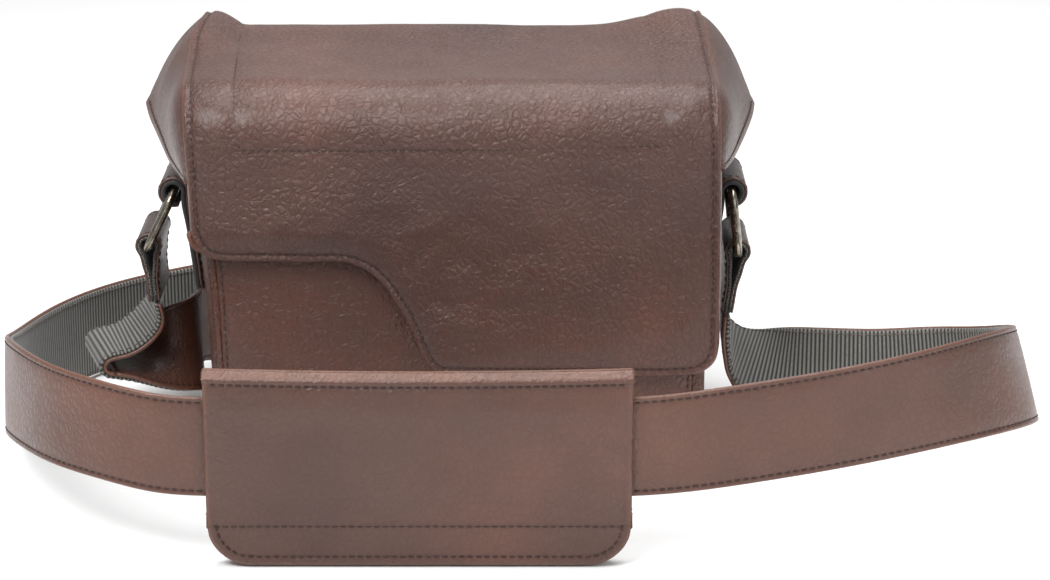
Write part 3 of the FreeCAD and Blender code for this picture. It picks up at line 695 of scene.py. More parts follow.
def outline():
    """The sheet's whole outline in (x, s)."""
    bottom = through(FLAP_LINE * (135.0, 1.0), 1.0) / (135.0, 1.0)
    bottom[:, 0] = np.clip(bottom[:, 0], -1, 1)
    bottom = np.stack([sheet_x(bottom[:, 0], s_of_z(bottom[:, 1])), s_of_z(bottom[:, 1])], 1)
    side = np.linspace(0, float(s_of_z(126.0)), 150)
    left = np.stack([edges_at(side)[0], side], 1)
    side = np.linspace(0, float(s_of_z(66.0)), 180)
    right = np.stack([edges_at(side)[1], side], 1)
    return bottom, np.vstack([left, bottom, right[::-1]])


BOTTOM, OUTLINE = outline()


def from_outline(x, s):
    """Distance to the sheet's outline."""
    flat = np.stack([np.ravel(x), np.ravel(s)], 1)
    result = np.empty(len(flat))
    a, b = OUTLINE[:-1], OUTLINE[1:]
    d = b - a
    size = np.maximum((d * d).sum(1), 1e-9)
    for k in range(0, len(flat), 2000):
        p = flat[k:k + 2000, None]
        t = np.clip(((p - a) * d).sum(2) / size, 0, 1)
        result[k:k + 2000] = np.linalg.norm(p - a - t[..., None] * d, axis=2).min(1)
    return result.reshape(np.shape(x))


RECTANGLE = [(-119.0, 14.0), (-118.0, 60.0), (-114.5, 120.0), (-110.5, FOLD_S - 21.0), (-109.5, FOLD_S - 19.6),
             (-60.0, FOLD_S - 19.0), (0.0, FOLD_S - 19.4), (60.0, FOLD_S - 20.4), (103.0, FOLD_S - 21.5),
             (104.6, FOLD_S - 23.0), (104.8, FOLD_S - 60.0), (104.2, 95.0), (102.0, 50.0), (100.0, 14.0)]


def from_line(x, s, line):
    """Distance to a line on the sheet."""
    line = np.asarray(line, float)
    best = np.full(np.shape(x), 1e9)
    for a, b in zip(line, line[1:]):
        d = b - a
        t = np.clip(((x - a[0]) * d[0] + (s - a[1]) * d[1]) / (d @ d), 0, 1)
        best = np.minimum(best, np.hypot(x - a[0] - t * d[0], s - a[1] - t * d[1]))
    return best


CATCH = (2.5, 100.5)
# How far in from its outline the sheet's edge seam lies.
SEAM_IN = 4.3
# Soft fold lines: where each starts and stops (x, z), its width and its depth.
CREASES = [((-24, 112), (-2, 128), 3.0, -0.9), ((-34, 104), (-8, 119), 2.4, -0.7),
           ((-30, 120), (-6, 136), 5.0, 0.8), ((-18, 92), (2, 82), 4.0, -1.2),
           ((0, 80), (30, 88), 4.0, -1.0), ((-6, 70), (22, 66), 5.0, -0.8),
           ((16, 112), (50, 118), 5.0, -0.6), ((20, 96), (56, 92), 4.0, 0.5),
           ((-70, 138), (-20, 146), 6.0, 0.8), ((-100, 128), (-60, 148), 6.0, 0.9),
           ((40, 150), (100, 146), 9.0, -0.7), ((60, 70), (115, 76), 9.0, 0.8),
           ((-128, 160), (-96, 178), 4.0, -0.9), ((-122, 140), (-104, 170), 4.0, 0.8),
           ((112, 150), (124, 182), 4.0, -0.9), ((108, 176), (128, 200), 5.0, 0.7)]
# Puffed places: x, z, how far each reaches and how high it stands.
BULGES = [(-98, 122, 26, 3.4), (-60, 128, 24, 1.6), (70, 72, 34, 2.0), (112, 64, 20, 1.4),
          (-118, 178, 20, 1.6), (118, 186, 18, 1.4)]


def lid_height(x, s, d):
    """How far the sheet's face stands off its plain section."""
    soft = 15.0
    bulge = 2.4 - 4.6 * (1 - np.sqrt(1 - (1 - np.clip(d / soft, 0, 1)) ** 2))
    rolled = 1.15 * bell(d, 1.5, 1.25) - 0.75 * bell(d, SEAM_IN, 0.95)
    row = from_line(x, s, RECTANGLE)
    sunk = -0.55 * bell(row, 0.0, 0.9) - 0.5 * bell(row, 0.0, 5.0)
    cx, cs = CATCH[0], float(s_of_z(CATCH[1]))
    r = np.hypot(x - cx, (s - cs) * 1.05)
    dimple = -1.5 * bell(r, 12.0, 5.0) + 0.9 * bell(r, 0.0, 6.5) - 0.8 * bell(r, 0.0, 26.0)
    folds = sum(crease(x, s, *line) for line in CREASES)
    for bx, bz, reach, rise in BULGES:
        folds = folds + rise * bell(np.hypot((x - bx) * 0.8, s - s_of_z(bz)), 0.0, reach)
    quiet = smooth_step(d, 3.0, 18.0)
    waves = 0.9 * ripple(x, s, 130.0, 3) + 0.28 * ripple(x, s, 34.0, 8)
    sag = -2.6 * smooth_step(s, 22.0, 70.0) * (1 - smooth_step(s, 100.0, 150.0)) * (1 - (x / 150.0) ** 2)
    return bulge + rolled + sunk + (dimple + folds + waves) * quiet + sag


def lid_point(x, s, lift=0.0, d=None):
    """Place and facing of the sheet at (x, s)."""
    x, s = np.broadcast_arrays(np.asarray(x, float), np.asarray(s, float))
    if d is None:
        d = from_outline(x, s)
    y, z = np.interp(s, PATH_RUN, PATH[:, 0]), np.interp(s, PATH_RUN, PATH[:, 1])
    ty = np.interp(s + 2.5, PATH_RUN, PATH[:, 0]) - np.interp(s - 2.5, PATH_RUN, PATH[:, 0])
    tz = np.interp(s + 2.5, PATH_RUN, PATH[:, 1]) - np.interp(s - 2.5, PATH_RUN, PATH[:, 1])
    size = np.maximum(np.hypot(ty, tz), 1e-6)
    ny, nz = tz / size, -ty / size
    left, right = edges_at(s)
    rise = smooth_step(s, 4.0, 22.0) * (1 - smooth_step(s, 34.0, 105.0))
    corner = (8.6 * (1 - smooth_step(x - left, 5.0, 26.0)) + 9.2 * (1 - smooth_step(right - x, 8.0, 58.0))) * rise
    height = lid_height(x, s, d) + lift
    return np.stack([x, y + ny * height, z + nz * height + corner], -1)


def lid_columns():
    """Column places across the sheet, closer together near its edges and round the flap's outline."""
    run = run_length(BOTTOM)
    inner = BOTTOM[np.searchsorted(run, np.arange(2.0, run[-1] - 2.0, 2.3)), 0]
    left, right = edges_at(FLAP_S)
    u = (inner - left) / (right - left) * 2 - 1
    close = np.arange(0, 8.0, 0.75) / 135.0
    u = np.concatenate([close - 1, u[np.abs(u) < 1 - 8.5 / 135.0], 1 - close])
    return np.unique(np.round(u, 5))


def flap_bottom(u):
    """How far down the sheet its lower edge lies."""
    left, right = edges_at(FLAP_S)
    order = np.argsort(BOTTOM[:, 0])
    x = left + (right - left) * (u + 1) / 2
    return np.interp(x, BOTTOM[order, 0], BOTTOM[order, 1])


def lid_sheet():
    """The lid and flap, their stitches and their linings."""
    u = lid_columns()
    head = np.concatenate([np.arange(0, 8.0, 0.8), np.arange(8.0, FOLD_S - 1.0, 2.3)])
    low = flap_bottom(u)
    tail = np.linspace(0, 1, 42)[:-1]
    s_rows = [np.full(len(u), s) for s in head]
    stop = low - 8.0
    for t in tail:
        s_rows.append(FOLD_S + (stop - FOLD_S) * t)
    for k in np.linspace(0, 8.0, 11):
        s_rows.append(stop + k)
    s = np.array(s_rows).T
    x = sheet_x(u[:, None], s)
    d = from_outline(x, s)
    outer = lid_point(x, s, d=d)
    row = from_line(x, s, RECTANGLE)
    seam = np.maximum(bell(d, SEAM_IN, 1.1), bell(row, 0.0, 1.0))
    rides = ("lid", "flap", (0, FRONT_Y * MM, 0.158), (0, FRONT_Y * MM, 0.143))
    slab("lid_and_flap", outer, 2.2, BAG_LEATHER, rides, "bag_leather", ("lid_panel", "flap_panel"),
         away=(0, -1, 0.6), inside=d, seam=seam)

    def surface_line(points, lift):
        points = paired(along, points)
        place = lid_point(points[:, 0], points[:, 1], lift)
        above = lid_point(points[:, 0], points[:, 1], lift + 1.0)
        return place, unit(above - place)

    tangent = unit(np.gradient(OUTLINE, axis=0))
    moved = OUTLINE + np.stack([tangent[:, 1], -tangent[:, 0]], 1) * SEAM_IN
    edge_row = moved[from_outline(moved[:, 0], moved[:, 1]) > SEAM_IN - 0.3]
    lines = [surface_line(RECTANGLE, 0.0), surface_line(edge_row[edge_row[:, 1] > 6], 0.0)]
    stitches("lid_and_flap_stitches", lines, THREAD, rides, pitch=4.0, length=2.6, width=0.8, height=0.42)

    x = np.linspace(-1, 1, 60)
    s = np.linspace(16.0, FOLD_S - 12.0, 80)
    uu, ss = np.meshgrid(x, s, indexing="ij")
    xx = sheet_x(uu, ss) * 0.955
    inner = lid_point(xx, ss, -2.7)
    slab("lid_lining", inner, 0.8, LINING, "lid", "lining", ("lid_lining",), away=(0, -1, 0.6))
    low = flap_bottom(u)
    keep = np.abs(u) < 0.965
    uu = u[keep]
    ss = np.array([FOLD_S + 5.0 + (low[keep] - 5.5 - FOLD_S - 5.0) * t for t in np.linspace(0, 1, 46)]).T
    xx = sheet_x(uu[:, None], ss)
    inner = lid_point(xx, ss, -2.5)
    slab("flap_lining", inner, 0.7, LINING, "flap", "lining", ("flap_lining",), away=(0, -1, 0))


lid_sheet()


# ---- ears ---------------------------------------------------------------------------
EAR_HEM = {
    # lower edge from the back corner to the front
    "left": [(-173.0, 60.0, 161.0), (-169.0, 42.0, 157.5), (-161.0, 12.0, 154.5), (-150.5, -28.0, 151.0),
             (-141.0, -58.0, 150.4), (-137.2, -72.0, 150.6)],
    "right": [(160.5, 60.0, 160.5), (158.0, 42.0, 158.0), (152.5, 12.0, 156.0), (144.5, -28.0, 154.5),
              (138.0, -58.0, 156.0), (135.6, -72.0, 158.5)],
}


def ear(side, sign):
    """A side ear of the lid, from its edge down to its hem."""
    hem = through(EAR_HEM[side], 3.0)
    count = len(hem)
    s_top = np.linspace(17.0, FOLD_S - (1.0 if side == "left" else 9.0), count)
    x_edge = edges_at(s_top)[0 if sign < 0 else 1]
    top = lid_point(x_edge - sign * 0.9, s_top, -1.6, d=np.full(count, 1.4))
    steps = 22
    rows = []
    for k in range(steps):
        t = k / (steps - 1)
        span = np.linalg.norm(hem - top, axis=1)
        out = np.array([sign * 0.86, 0.0, 0.5])
        swell = np.sin(pi * t ** 0.8) * np.minimum(span * 0.11, 5.0)
        near = smooth_step(t, 0.0, 0.12)
        wave = 0.7 * ripple(np.arange(count) * 3.0, np.full(count, t * 50.0), 60.0, 5 if sign < 0 else 6) * near
        to_hem = (1 - t) * span
        hem_roll = 0.8 * bell(to_hem, 1.2, 1.2) - 0.5 * bell(to_hem, 4.2, 1.0)
        rows.append(top * (1 - t) + hem * t + out * (swell + wave + hem_roll * near)[:, None])
    outer = np.array(rows).transpose(1, 0, 2)
    slab("ear_" + side, outer, 2.0, BAG_LEATHER, "lid", "bag_leather", ("lid_ear_" + side,), away=(sign, 0, 0.3))
    normal = grid_normals(outer)
    if normal[:, :, 0].mean() * sign < 0:
        normal = -normal
    span = np.linalg.norm(hem - top, axis=1)
    line, facing = [], []
    for i in range(2, count - 1):
        t = 1 - 4.0 / max(span[i], 4.6)
        k = t * (steps - 1)
        a = int(k)
        f = k - a
        if span[i] > 9:
            line.append(outer[i, a] * (1 - f) + outer[i, min(a + 1, steps - 1)] * f)
            facing.append(normal[i, a])
    stitches("ear_stitches_" + side, [(np.array(line) + np.array(facing) * 0.1, np.array(facing))], THREAD, "lid")


for ear_side, ear_sign in (("left", -1), ("right", 1)):
    ear(ear_side, ear_sign)


# ---- body ---------------------------------------------------------------------------
BODY_CORNER = 15.0
# Where the walls start and stop, and the round of the binding on them.
WALL_LOW, WALL_TOP = 1.2, 176.0
BINDING_R = 1.9


def body_point(run, z, inset=0.0):
    """The body's outer wall: `run` is the distance round it from the front's middle, going right."""
    half_w = np.interp(z, [0, 3, 12, 44, 66, 88, 107, 130, 176],
                       [124, 127.5, 128.6, 129, 129.8, 131, 132.4, 132, 130.5])
    half_d = np.interp(z, [0, 3, 12, 60, 120, 176], [62.5, 65.2, 66.3, 67.0, 66.6, 65.4])
    half_w, half_d, r = half_w - inset, half_d - inset, BODY_CORNER - inset
    total = 4 * (half_w - r) + 4 * (half_d - r) + 2 * pi * r
    share = (run % BODY_RUN) / BODY_RUN * total
    front, side, turn = half_w - r, 2 * (half_d - r), r * pi / 2
    x, y = np.zeros_like(share), np.zeros_like(share)
    nx, ny = np.zeros_like(share), np.zeros_like(share)
    start = np.zeros_like(share)
    pieces = [("line", front, 0.0, -half_d, 1, 0, 0, -1), ("arc", turn, front, -half_d + r, -90, 0, 0, 0),
              ("line", side, half_w, -half_d + r, 0, 1, 1, 0), ("arc", turn, front, half_d - r, 0, 0, 0, 0),
              ("line", 2 * front, front, half_d, -1, 0, 0, 1), ("arc", turn, -front, half_d - r, 90, 0, 0, 0),
              ("line", side, -half_w, half_d - r, 0, -1, -1, 0), ("arc", turn, -front, -half_d + r, 180, 0, 0, 0),
              ("line", front, -front, -half_d, 1, 0, 0, -1)]
    for kind, length, px, py, a, b, c, e in pieces:
        length = np.broadcast_to(length, share.shape)
        on = (share >= start - 1e-6) & (share <= start + length + 1e-6)
        t = share - start
        if kind == "line":
            x, y = np.where(on, px + a * t, x), np.where(on, py + b * t, y)
            nx, ny = np.where(on, c, nx), np.where(on, e, ny)
        else:
            angle = np.radians(a) + t / r
            x, y = np.where(on, px + r * np.cos(angle), x), np.where(on, py + r * np.sin(angle), y)
            nx, ny = np.where(on, np.cos(angle), nx), np.where(on, np.sin(angle), ny)
        start = start + length
    return x, y, nx, ny


BODY_RUN = 4 * (130.5 - BODY_CORNER) + 4 * (66 - BODY_CORNER) + 2 * pi * BODY_CORNER
# How far round from a panel's middle its side seams lie.
SEAM_RUN = 124.0


def wall_row(run, z):
    """A row of stitches' places, just sunk in the wall, and the way they face."""
    x, y, nx, ny = body_point(run, z)
    normal = np.stack([nx, ny, np.zeros(len(run))], 1)
    return np.stack([x, y, z], 1) - normal * 0.45, normal


def wall(name, start, stop, nodes, seed):
    """One leather panel of the body, with its stitches."""
    runs = np.arange(start, stop + 1e-6, 2.6)
    runs = np.unique(np.concatenate([np.arange(start, start + 6, 0.7), runs[(runs > start + 6) & (runs < stop - 6)],
                                     np.arange(stop, stop - 6, -0.7)]))
    zs = np.concatenate([np.arange(WALL_LOW, 8, 0.8), np.arange(8, 170, 3.0), np.arange(170, 176.6, 0.9)])
    r, z = np.meshgrid(runs, zs, indexing="ij")
    x, y, nx, ny = body_point(r, z)
    d = np.minimum(r - start, stop - r)
    dz = np.minimum(z - WALL_LOW, WALL_TOP - z)
    height = -1.3 * bell(d, 0.0, 1.3) - 0.5 * bell(d, 3.6, 1.0) + 0.5 * bell(d, 2.2, 1.0)
    height -= 0.5 * bell(dz, 4.0, 1.0)
    waves = 0.8 * ripple(r, z, 90.0, seed) + 0.25 * ripple(r, z, 30.0, seed + 1)
    height += waves * smooth_step(np.minimum(d, dz), 4, 18)
    outer = np.stack([x + nx * height, y + ny * height, z], -1)
    seam = np.maximum(bell(d, 3.6, 1.0), bell(d, 0.0, 1.0))
    middle = runs[len(runs) // 2]
    _, _, mx, my = body_point(np.array([middle]), np.array([80.0]))
    slab(name, outer, 2.0, SKIN_LEATHER, "bag", "bag_leather", nodes, away=(mx[0], my[0], 0), seam=seam)
    lines = []
    for run in (start + 3.6, stop - 3.6):
        lines.append(wall_row(np.full(90, run), np.linspace(6.0, 170.0, 90)))
    run = np.linspace(start + 5, stop - 5, int((stop - start) / 2))
    lines.append(wall_row(run, np.full(len(run), 5.2)))
    stitches(name + "_stitches", lines, THREAD, "bag")


def body():
    """Walls, base, bound rim and hinge strip."""
    half = BODY_RUN / 2
    wall("front_panel", -SEAM_RUN + 0.2, SEAM_RUN - 0.2, ("front_panel",), 21)
    wall("right_gusset", SEAM_RUN + 0.2, half - SEAM_RUN - 0.2, ("gusset_right",), 23)
    wall("back_panel", half - SEAM_RUN + 0.2, half + SEAM_RUN - 0.2, ("back_panel",), 25)
    wall("left_gusset", half + SEAM_RUN + 0.2, BODY_RUN - SEAM_RUN - 0.2, ("gusset_left",), 27)

    # The base: a crowned panel whose edge turns up to meet the walls.
    turns = np.linspace(0, BODY_RUN, 181)[:-1]
    rings = []
    for inset, z in ((1.8, 3.0), (0.3, 2.2), (0.4, 1.2), (1.6, 0.5), (5.0, 0.15), (12.0, 0.1)):
        x, y, _, _ = body_point(turns, np.full(180, 6.0), inset)
        rings.append(np.stack([x, y, np.full(180, z)], 1))
    for share in (0.75, 0.5, 0.25, 0.04):
        rings.append(np.stack([rings[5][:, 0] * share, rings[5][:, 1] * share,
                               np.full(180, 0.1 + 0.5 * (1 - share))], 1))
    upper = [np.stack([rings[0][:, 0] * s, rings[0][:, 1] * s, np.full(180, 3.0)], 1) for s in (0.97, 0.5, 0.04)]
    rings = upper[::-1] + rings
    verts = np.vstack(rings)
    faces = quads(len(rings), 180, wrap_columns=True)
    faces += [list(range(180)), list(range(len(verts) - 180, len(verts)))]
    piece("base", verts, faces, SKIN_LEATHER, "bag", "bag_leather", ("base_panel",))

    # Bound upper edge.
    turns = np.linspace(0, BODY_RUN, 361)[:-1]
    x, y, nx, ny = body_point(turns, np.full(360, WALL_TOP), 0.7)
    centres = np.stack([x, y, np.full(360, 177.6)], 1)
    out, up = np.stack([nx, ny, np.zeros(360)], 1), np.tile([0.0, 0.0, 1.0], (360, 1))
    sweep("rim_binding", centres, out, up, oval(BINDING_R, BINDING_R, 0.6, 0.7), SKIN_LEATHER, "bag",
          "bag_leather", ("rim_binding",), closed=True)
    stitches("rim_stitches", [(centres + out * BINDING_R - up * 0.4, out)], THREAD, "bag")

    # A leather hinge strip from the back panel to the lid.
    x = np.linspace(-116, 116, 90)
    line = np.array([(67.9, 160.0), (68.2, 166.0), (68.4, 172.0), (69.2, 177.0), (70.4, 180.5), (71.3, 184.0),
                     (71.6, 188.0), (71.7, 192.0)])
    line = paired(through, line)
    grid = np.stack([np.broadcast_to(x[:, None], (90, len(line))), np.broadcast_to(line[:, 0], (90, len(line))) + 0.4,
                     np.broadcast_to(line[:, 1], (90, len(line)))], -1).copy()
    d = np.minimum(116 - np.abs(grid[..., 0]), np.minimum(grid[..., 2] - 160, 192 - grid[..., 2]))
    grid[..., 1] += 0.35 * bell(d, 1.2, 1.1) - 0.35 * bell(d, 3.6, 0.9)
    rides = ("bag", "lid", (0, 0.069, 0.177), (0, 0.069, 0.185))
    slab("hinge_strip", grid, 1.3, BAG_LEATHER, rides, "bag_leather", away=(0, 1, 0))
    lines = []
    for z in (163.6, 188.4):
        k = int(np.argmin(np.abs(grid[0, :, 2] - z)))
        lines.append((grid[3:-3, k], np.tile([0.0, 1.0, 0.0], (84, 1))))
    stitches("hinge_stitches", lines, THREAD, rides)


body()


# ---- lining, padded walls and dividers ----------------------------------------------
def cushion(name, low, high, rides, nodes, round_by=2.2, puff=1.2, quilting=0.0, cap=1.6):
    """A padded block between two corners: rounded, swollen between its seams, fabric covered."""
    low, high = np.array(low, float), np.array(high, float)
    middle, half = (low + high) / 2, (high - low) / 2
    thin = int(np.argmin(half))
    others = [k for k in range(3) if k != thin]
    count = [max(8, int(2 * half[k] / 4.0)) for k in others]
    a, b = [np.sin(np.linspace(-pi / 2, pi / 2, n)) * 0.35 + np.linspace(-1, 1, n) * 0.65 for n in count]
    aa, bb = np.meshgrid(a, b, indexing="ij")
    inset = np.minimum((1 - np.abs(aa)) * half[others[0]], (1 - np.abs(bb)) * half[others[1]])
    near = np.clip(inset / round_by, 0, 1)
    thick = half[thin] * (0.35 + 0.65 * np.sqrt(1 - (1 - near) ** 2))
    thick = thick + puff * 0.5 * (smooth_step(inset, 2, 22) - 1)
    if quilting:
        run = aa * half[others[0]]
        from_seam = np.abs((run + quilting / 2) % quilting - quilting / 2)
        thick -= 0.9 * bell(from_seam, 0.0, 1.6) * smooth_step(inset, 3, 8)
    sides = []
    for sign in (1, -1):
        grid = np.empty(aa.shape + (3,))
        grid[..., others[0]] = middle[others[0]] + aa * half[others[0]]
        grid[..., others[1]] = middle[others[1]] + bb * half[others[1]]
        grid[..., thin] = middle[thin] + sign * thick
        sides.append(grid)
    rows, columns = aa.shape
    loop = rim_of(rows, columns)
    top = [i * columns + j for i, j in loop]
    n = rows * columns
    faces = quads(rows, columns) + quads(rows, columns, n)
    faces += [[top[k], top[(k + 1) % len(top)], n + top[(k + 1) % len(top)], n + top[k]] for k in range(len(top))]
    verts = np.vstack([g.reshape(-1, 3) for g in sides])
    obj = piece(name, verts, faces, LINING, rides, "lining", nodes)
    if cap:
        swell(obj, cap)
    return obj


def swell(obj, cap):
    """Blow the padding up a little with a short cloth run, and keep the result as plain vertices."""
    scene = bpy.context.scene
    work = bpy.data.objects.new(obj.name + "_work", obj.data.copy())
    scene.collection.objects.link(work)
    cloth_run = work.modifiers.new("cloth", "CLOTH")
    cloth_run.settings.use_pressure = True
    cloth_run.settings.uniform_pressure_force = 4.0
    cloth_run.settings.effector_weights.gravity = 0.0
    cloth_run.settings.quality = 5
    cloth_run.point_cache.frame_start, cloth_run.point_cache.frame_end = 1, 14
    for step in range(1, 15):
        scene.frame_set(step)
    shape = work.evaluated_get(bpy.context.evaluated_depsgraph_get())
    rest = np.array([v.co for v in obj.data.vertices])
    moved = np.array([v.co for v in shape.data.vertices])
    scene.frame_set(1)
    push = moved - rest
    size = np.maximum(np.linalg.norm(push, axis=1, keepdims=True), 1e-9)
    push *= np.minimum(1.0, cap * MM / size)
    obj.data.vertices.foreach_set("co", (rest + push).ravel())
    obj.data.update()
    bpy.data.objects.remove(work)


def lining():
    """The padded walls, floor and two dividers."""
    cushion("lining_base", (-122.0, -57.5, 5.6), (122.0, 57.5, 9.6), "bag", ("lining_base",), cap=0.0, quilting=30.0)
    for name, sign in (("front", -1), ("back", 1)):
        y = sorted((sign * 63.4, sign * 59.2))
        cushion("lining_" + name, (-116.5, y[0], 10.9), (116.5, y[1], 170.0), "bag", ("lining_" + name,), cap=0.0,
                quilting=38.0)
    for name, sign in (("left", -1), ("right", 1)):
        x = sorted((sign * 127.8, sign * 123.6))
        cushion("lining_" + name, (x[0], -51.5, 10.9), (x[1], 51.5, 170.0), "bag", ("lining_" + name,), cap=0.0,
                quilting=38.0)
        x = sorted((sign * 42 - 2.4, sign * 42 + 2.4))
        cushion("divider_" + name, (x[0], -56.5, 11.6), (x[1], 56.5, 149.4), name + "_divider", ("divider_" + name,),
                cap=1.1)


lining()


# ---- side tabs, rings, strap tabs ---------------------------------------------------
RING_PIVOT = {"left": (149.7, 133.0, 25.8), "right": (143.5, 133.0, 6.4)}
RING_DROP = 33.0
TAB_HALF = 22.5


def tab_band(name, sign, path, rides, nodes, outside_ply, inside_ply, taper):
    """A two-ply band in the XZ plane, `path` outward X and Z; leather outside, webbing inside."""
    line = paired(through, path)
    tangent = unit(np.gradient(line, axis=0))
    outward = np.stack([-tangent[:, 1], tangent[:, 0]], 1)
    run = run_length(line)
    half = np.full(len(run), TAB_HALF)
    if taper:
        half = TAB_HALF - 10.0 * (1 - np.sqrt(np.clip(1 - (1 - np.clip(run / 11.0, 0, 1)) ** 2, 0, 1)))

    def ply(label, start, thickness, widen, material, slot, replaced):
        across = np.concatenate([[-1, -0.96, -0.9], np.linspace(-0.8, 0.8, 13), [0.9, 0.96, 1]])
        place = line + outward * (start + thickness)
        y = across[:, None] * (half + widen)[None]
        groove = -0.3 * bell(half - np.abs(y), 3.0, 0.8) if material is TAB_LEATHER else 0.0 * y
        grid = np.stack([sign * (place[:, 0] + outward[:, 0] * groove), y,
                         place[:, 1] + outward[:, 1] * groove], -1)
        middle = len(line) // 2
        side = np.array([sign * outward[middle, 0], 0, outward[middle, 1]])
        normal = grid_normals(grid)
        if (normal[:, middle] @ side).mean() < 0:
            grid = grid[::-1]
        slab(name + label, grid, thickness, material, rides, slot, replaced)

    ply("_leather", 0.05, outside_ply, 0.0, TAB_LEATHER, "bag_leather", nodes)
    ply("_webbing", -inside_ply, inside_ply, 0.7, DARK_WEBBING, "webbing", ())
    lines, ticks = [], []
    inner = slice(3, -3)
    for y_sign in (-1, 1):
        place = line + outward * (outside_ply + 0.02)
        y = y_sign * (half - 3.0)
        lines.append((np.stack([sign * place[:, 0], y, place[:, 1]], 1)[inner],
                      np.stack([sign * outward[:, 0], np.zeros(len(run)), outward[:, 1]], 1)[inner]))
        place = line - outward * (inside_ply * 0.45)
        y = y_sign * (half + 0.85)
        ticks.append((np.stack([sign * place[:, 0], y, place[:, 1]], 1)[inner],
                      np.tile([0.0, float(y_sign), 0.0], (len(run), 1))[inner]))
    stitches(name + "_stitches", lines, THREAD, rides)
    stitches(name + "_edge_stitches", ticks, PALE_THREAD, rides, pitch=1.7, length=1.7, width=0.5,
             height=0.3, slant=0.9)


def ring_set(side, sign):
    """One ring with the side tab above it and the strap tab below."""
    px, pz, tilt = RING_PIVOT[side]
    lean = radians(tilt)
    down = np.array([sin(lean), -cos(lean)])
    body_name = side + "_ring"

    # Ring: rounded rectangle of round wire, its long bars along Y.
    half, r = 29.0, 7.0
    corners = [(half - r, r, 0), (-half + r, r, 90), (-half + r, RING_DROP - r, 180), (half - r, RING_DROP - r, 270)]
    line = []
    for cy, cd, start in corners:
        line += [(cy + r * cos(radians(start + a)), cd - r * sin(radians(start + a))) for a in range(0, 91, 6)]
    line = paired(along, line + line[:1])[:-1]
    centres = np.stack([sign * (px + down[0] * line[:, 1]), line[:, 0], pz + down[1] * line[:, 1]], 1)
    tangent = unit(np.roll(centres, -1, 0) - np.roll(centres, 1, 0))
    flat = unit(np.array([sign * cos(lean), 0.0, sin(lean)]))
    flat = np.tile(flat, (len(centres), 1))
    sweep("ring_wire_" + side, centres, flat, np.cross(tangent, flat), oval(2.4, 3.2), RING_METAL, body_name,
          "ring_metal", ("ring_" + side,), closed=True)

    # Side tab: up the wall, over the ring's upper bar and round it.
    low_x = {"left": 137.6, "right": 134.4}[side]
    arc = [(px + 6.6 * cos(radians(a)), pz + 6.6 * sin(radians(a)))
           for a in (198, 165, 130, 95, 60, 25, -10, -45, -80, -108)]
    path = [(low_x, 77.0), (low_x + 0.6, 88.0), (low_x + (px - 6.8 - low_x) * 0.45, 104.0),
            (low_x + (px - 6.8 - low_x) * 0.85, 119.0)] + arc
    tab_band("side_tab_" + side, sign, path, "bag", ("side_tab_" + side,), 1.6, 2.3, True)

    # Strap tab: up round the lower bar and back, both plies meeting above the strap's end.
    bar = np.array([px, pz]) + down * RING_DROP
    station = STRAP_ROUTE[0 if side == "left" else -1]
    end = np.array([sign * station[0], station[2] + 2.6])
    aim = unit(end - bar)
    out = np.array([-aim[1], aim[0]])
    length = float(np.linalg.norm(end - bar))
    local = [(length, 1.7), (length - 8, 1.7), (length * 0.52, 2.0), (length * 0.34, 3.0)]
    local += [(5.6 * cos(radians(a)), 5.6 * sin(radians(a))) for a in (50, 85, 120, 155, 205, 240, 275, 310)]
    local += [(length * 0.34, -3.0), (length * 0.52, -2.0), (length - 8, -1.7), (length, -1.7)]
    if out[0] < 0:
        out = -out
    # The band runs up its outer face first, so that leather lies outside the loop.
    points = [bar + aim * u + out * v for u, v in local[::-1]]
    tab_band("strap_tab_" + side, sign, points, body_name, ("strap_tab_" + side,), 1.3, 1.6, False)


for ring_side, ring_sign in (("left", -1), ("right", 1)):
    ring_set(ring_side, ring_sign)


# ---- shoulder pad -------------------------------------------------------------------
PAD_LEFT, PAD_RIGHT, PAD_TOP = -116.8, 85.6, 98.0
PAD_R = 21.0
PAD_FRONT_Y, PAD_BACK_Y = -212.5, -199.0


def pad_edge(x, z):
    """Distance in from the pad's outline, with its two lower corners rounded."""
    d = np.minimum(np.minimum(x - PAD_LEFT, PAD_RIGHT - x), np.minimum(z - 0.6, PAD_TOP - z))
    for cx, side in ((PAD_LEFT + PAD_R, -1), (PAD_RIGHT - PAD_R, 1)):
        inside = ((x - cx) * side > 0) & (z < PAD_R + 0.6)
        d = np.where(inside, PAD_R - np.hypot(x - cx, z - PAD_R - 0.6), d)
    return d


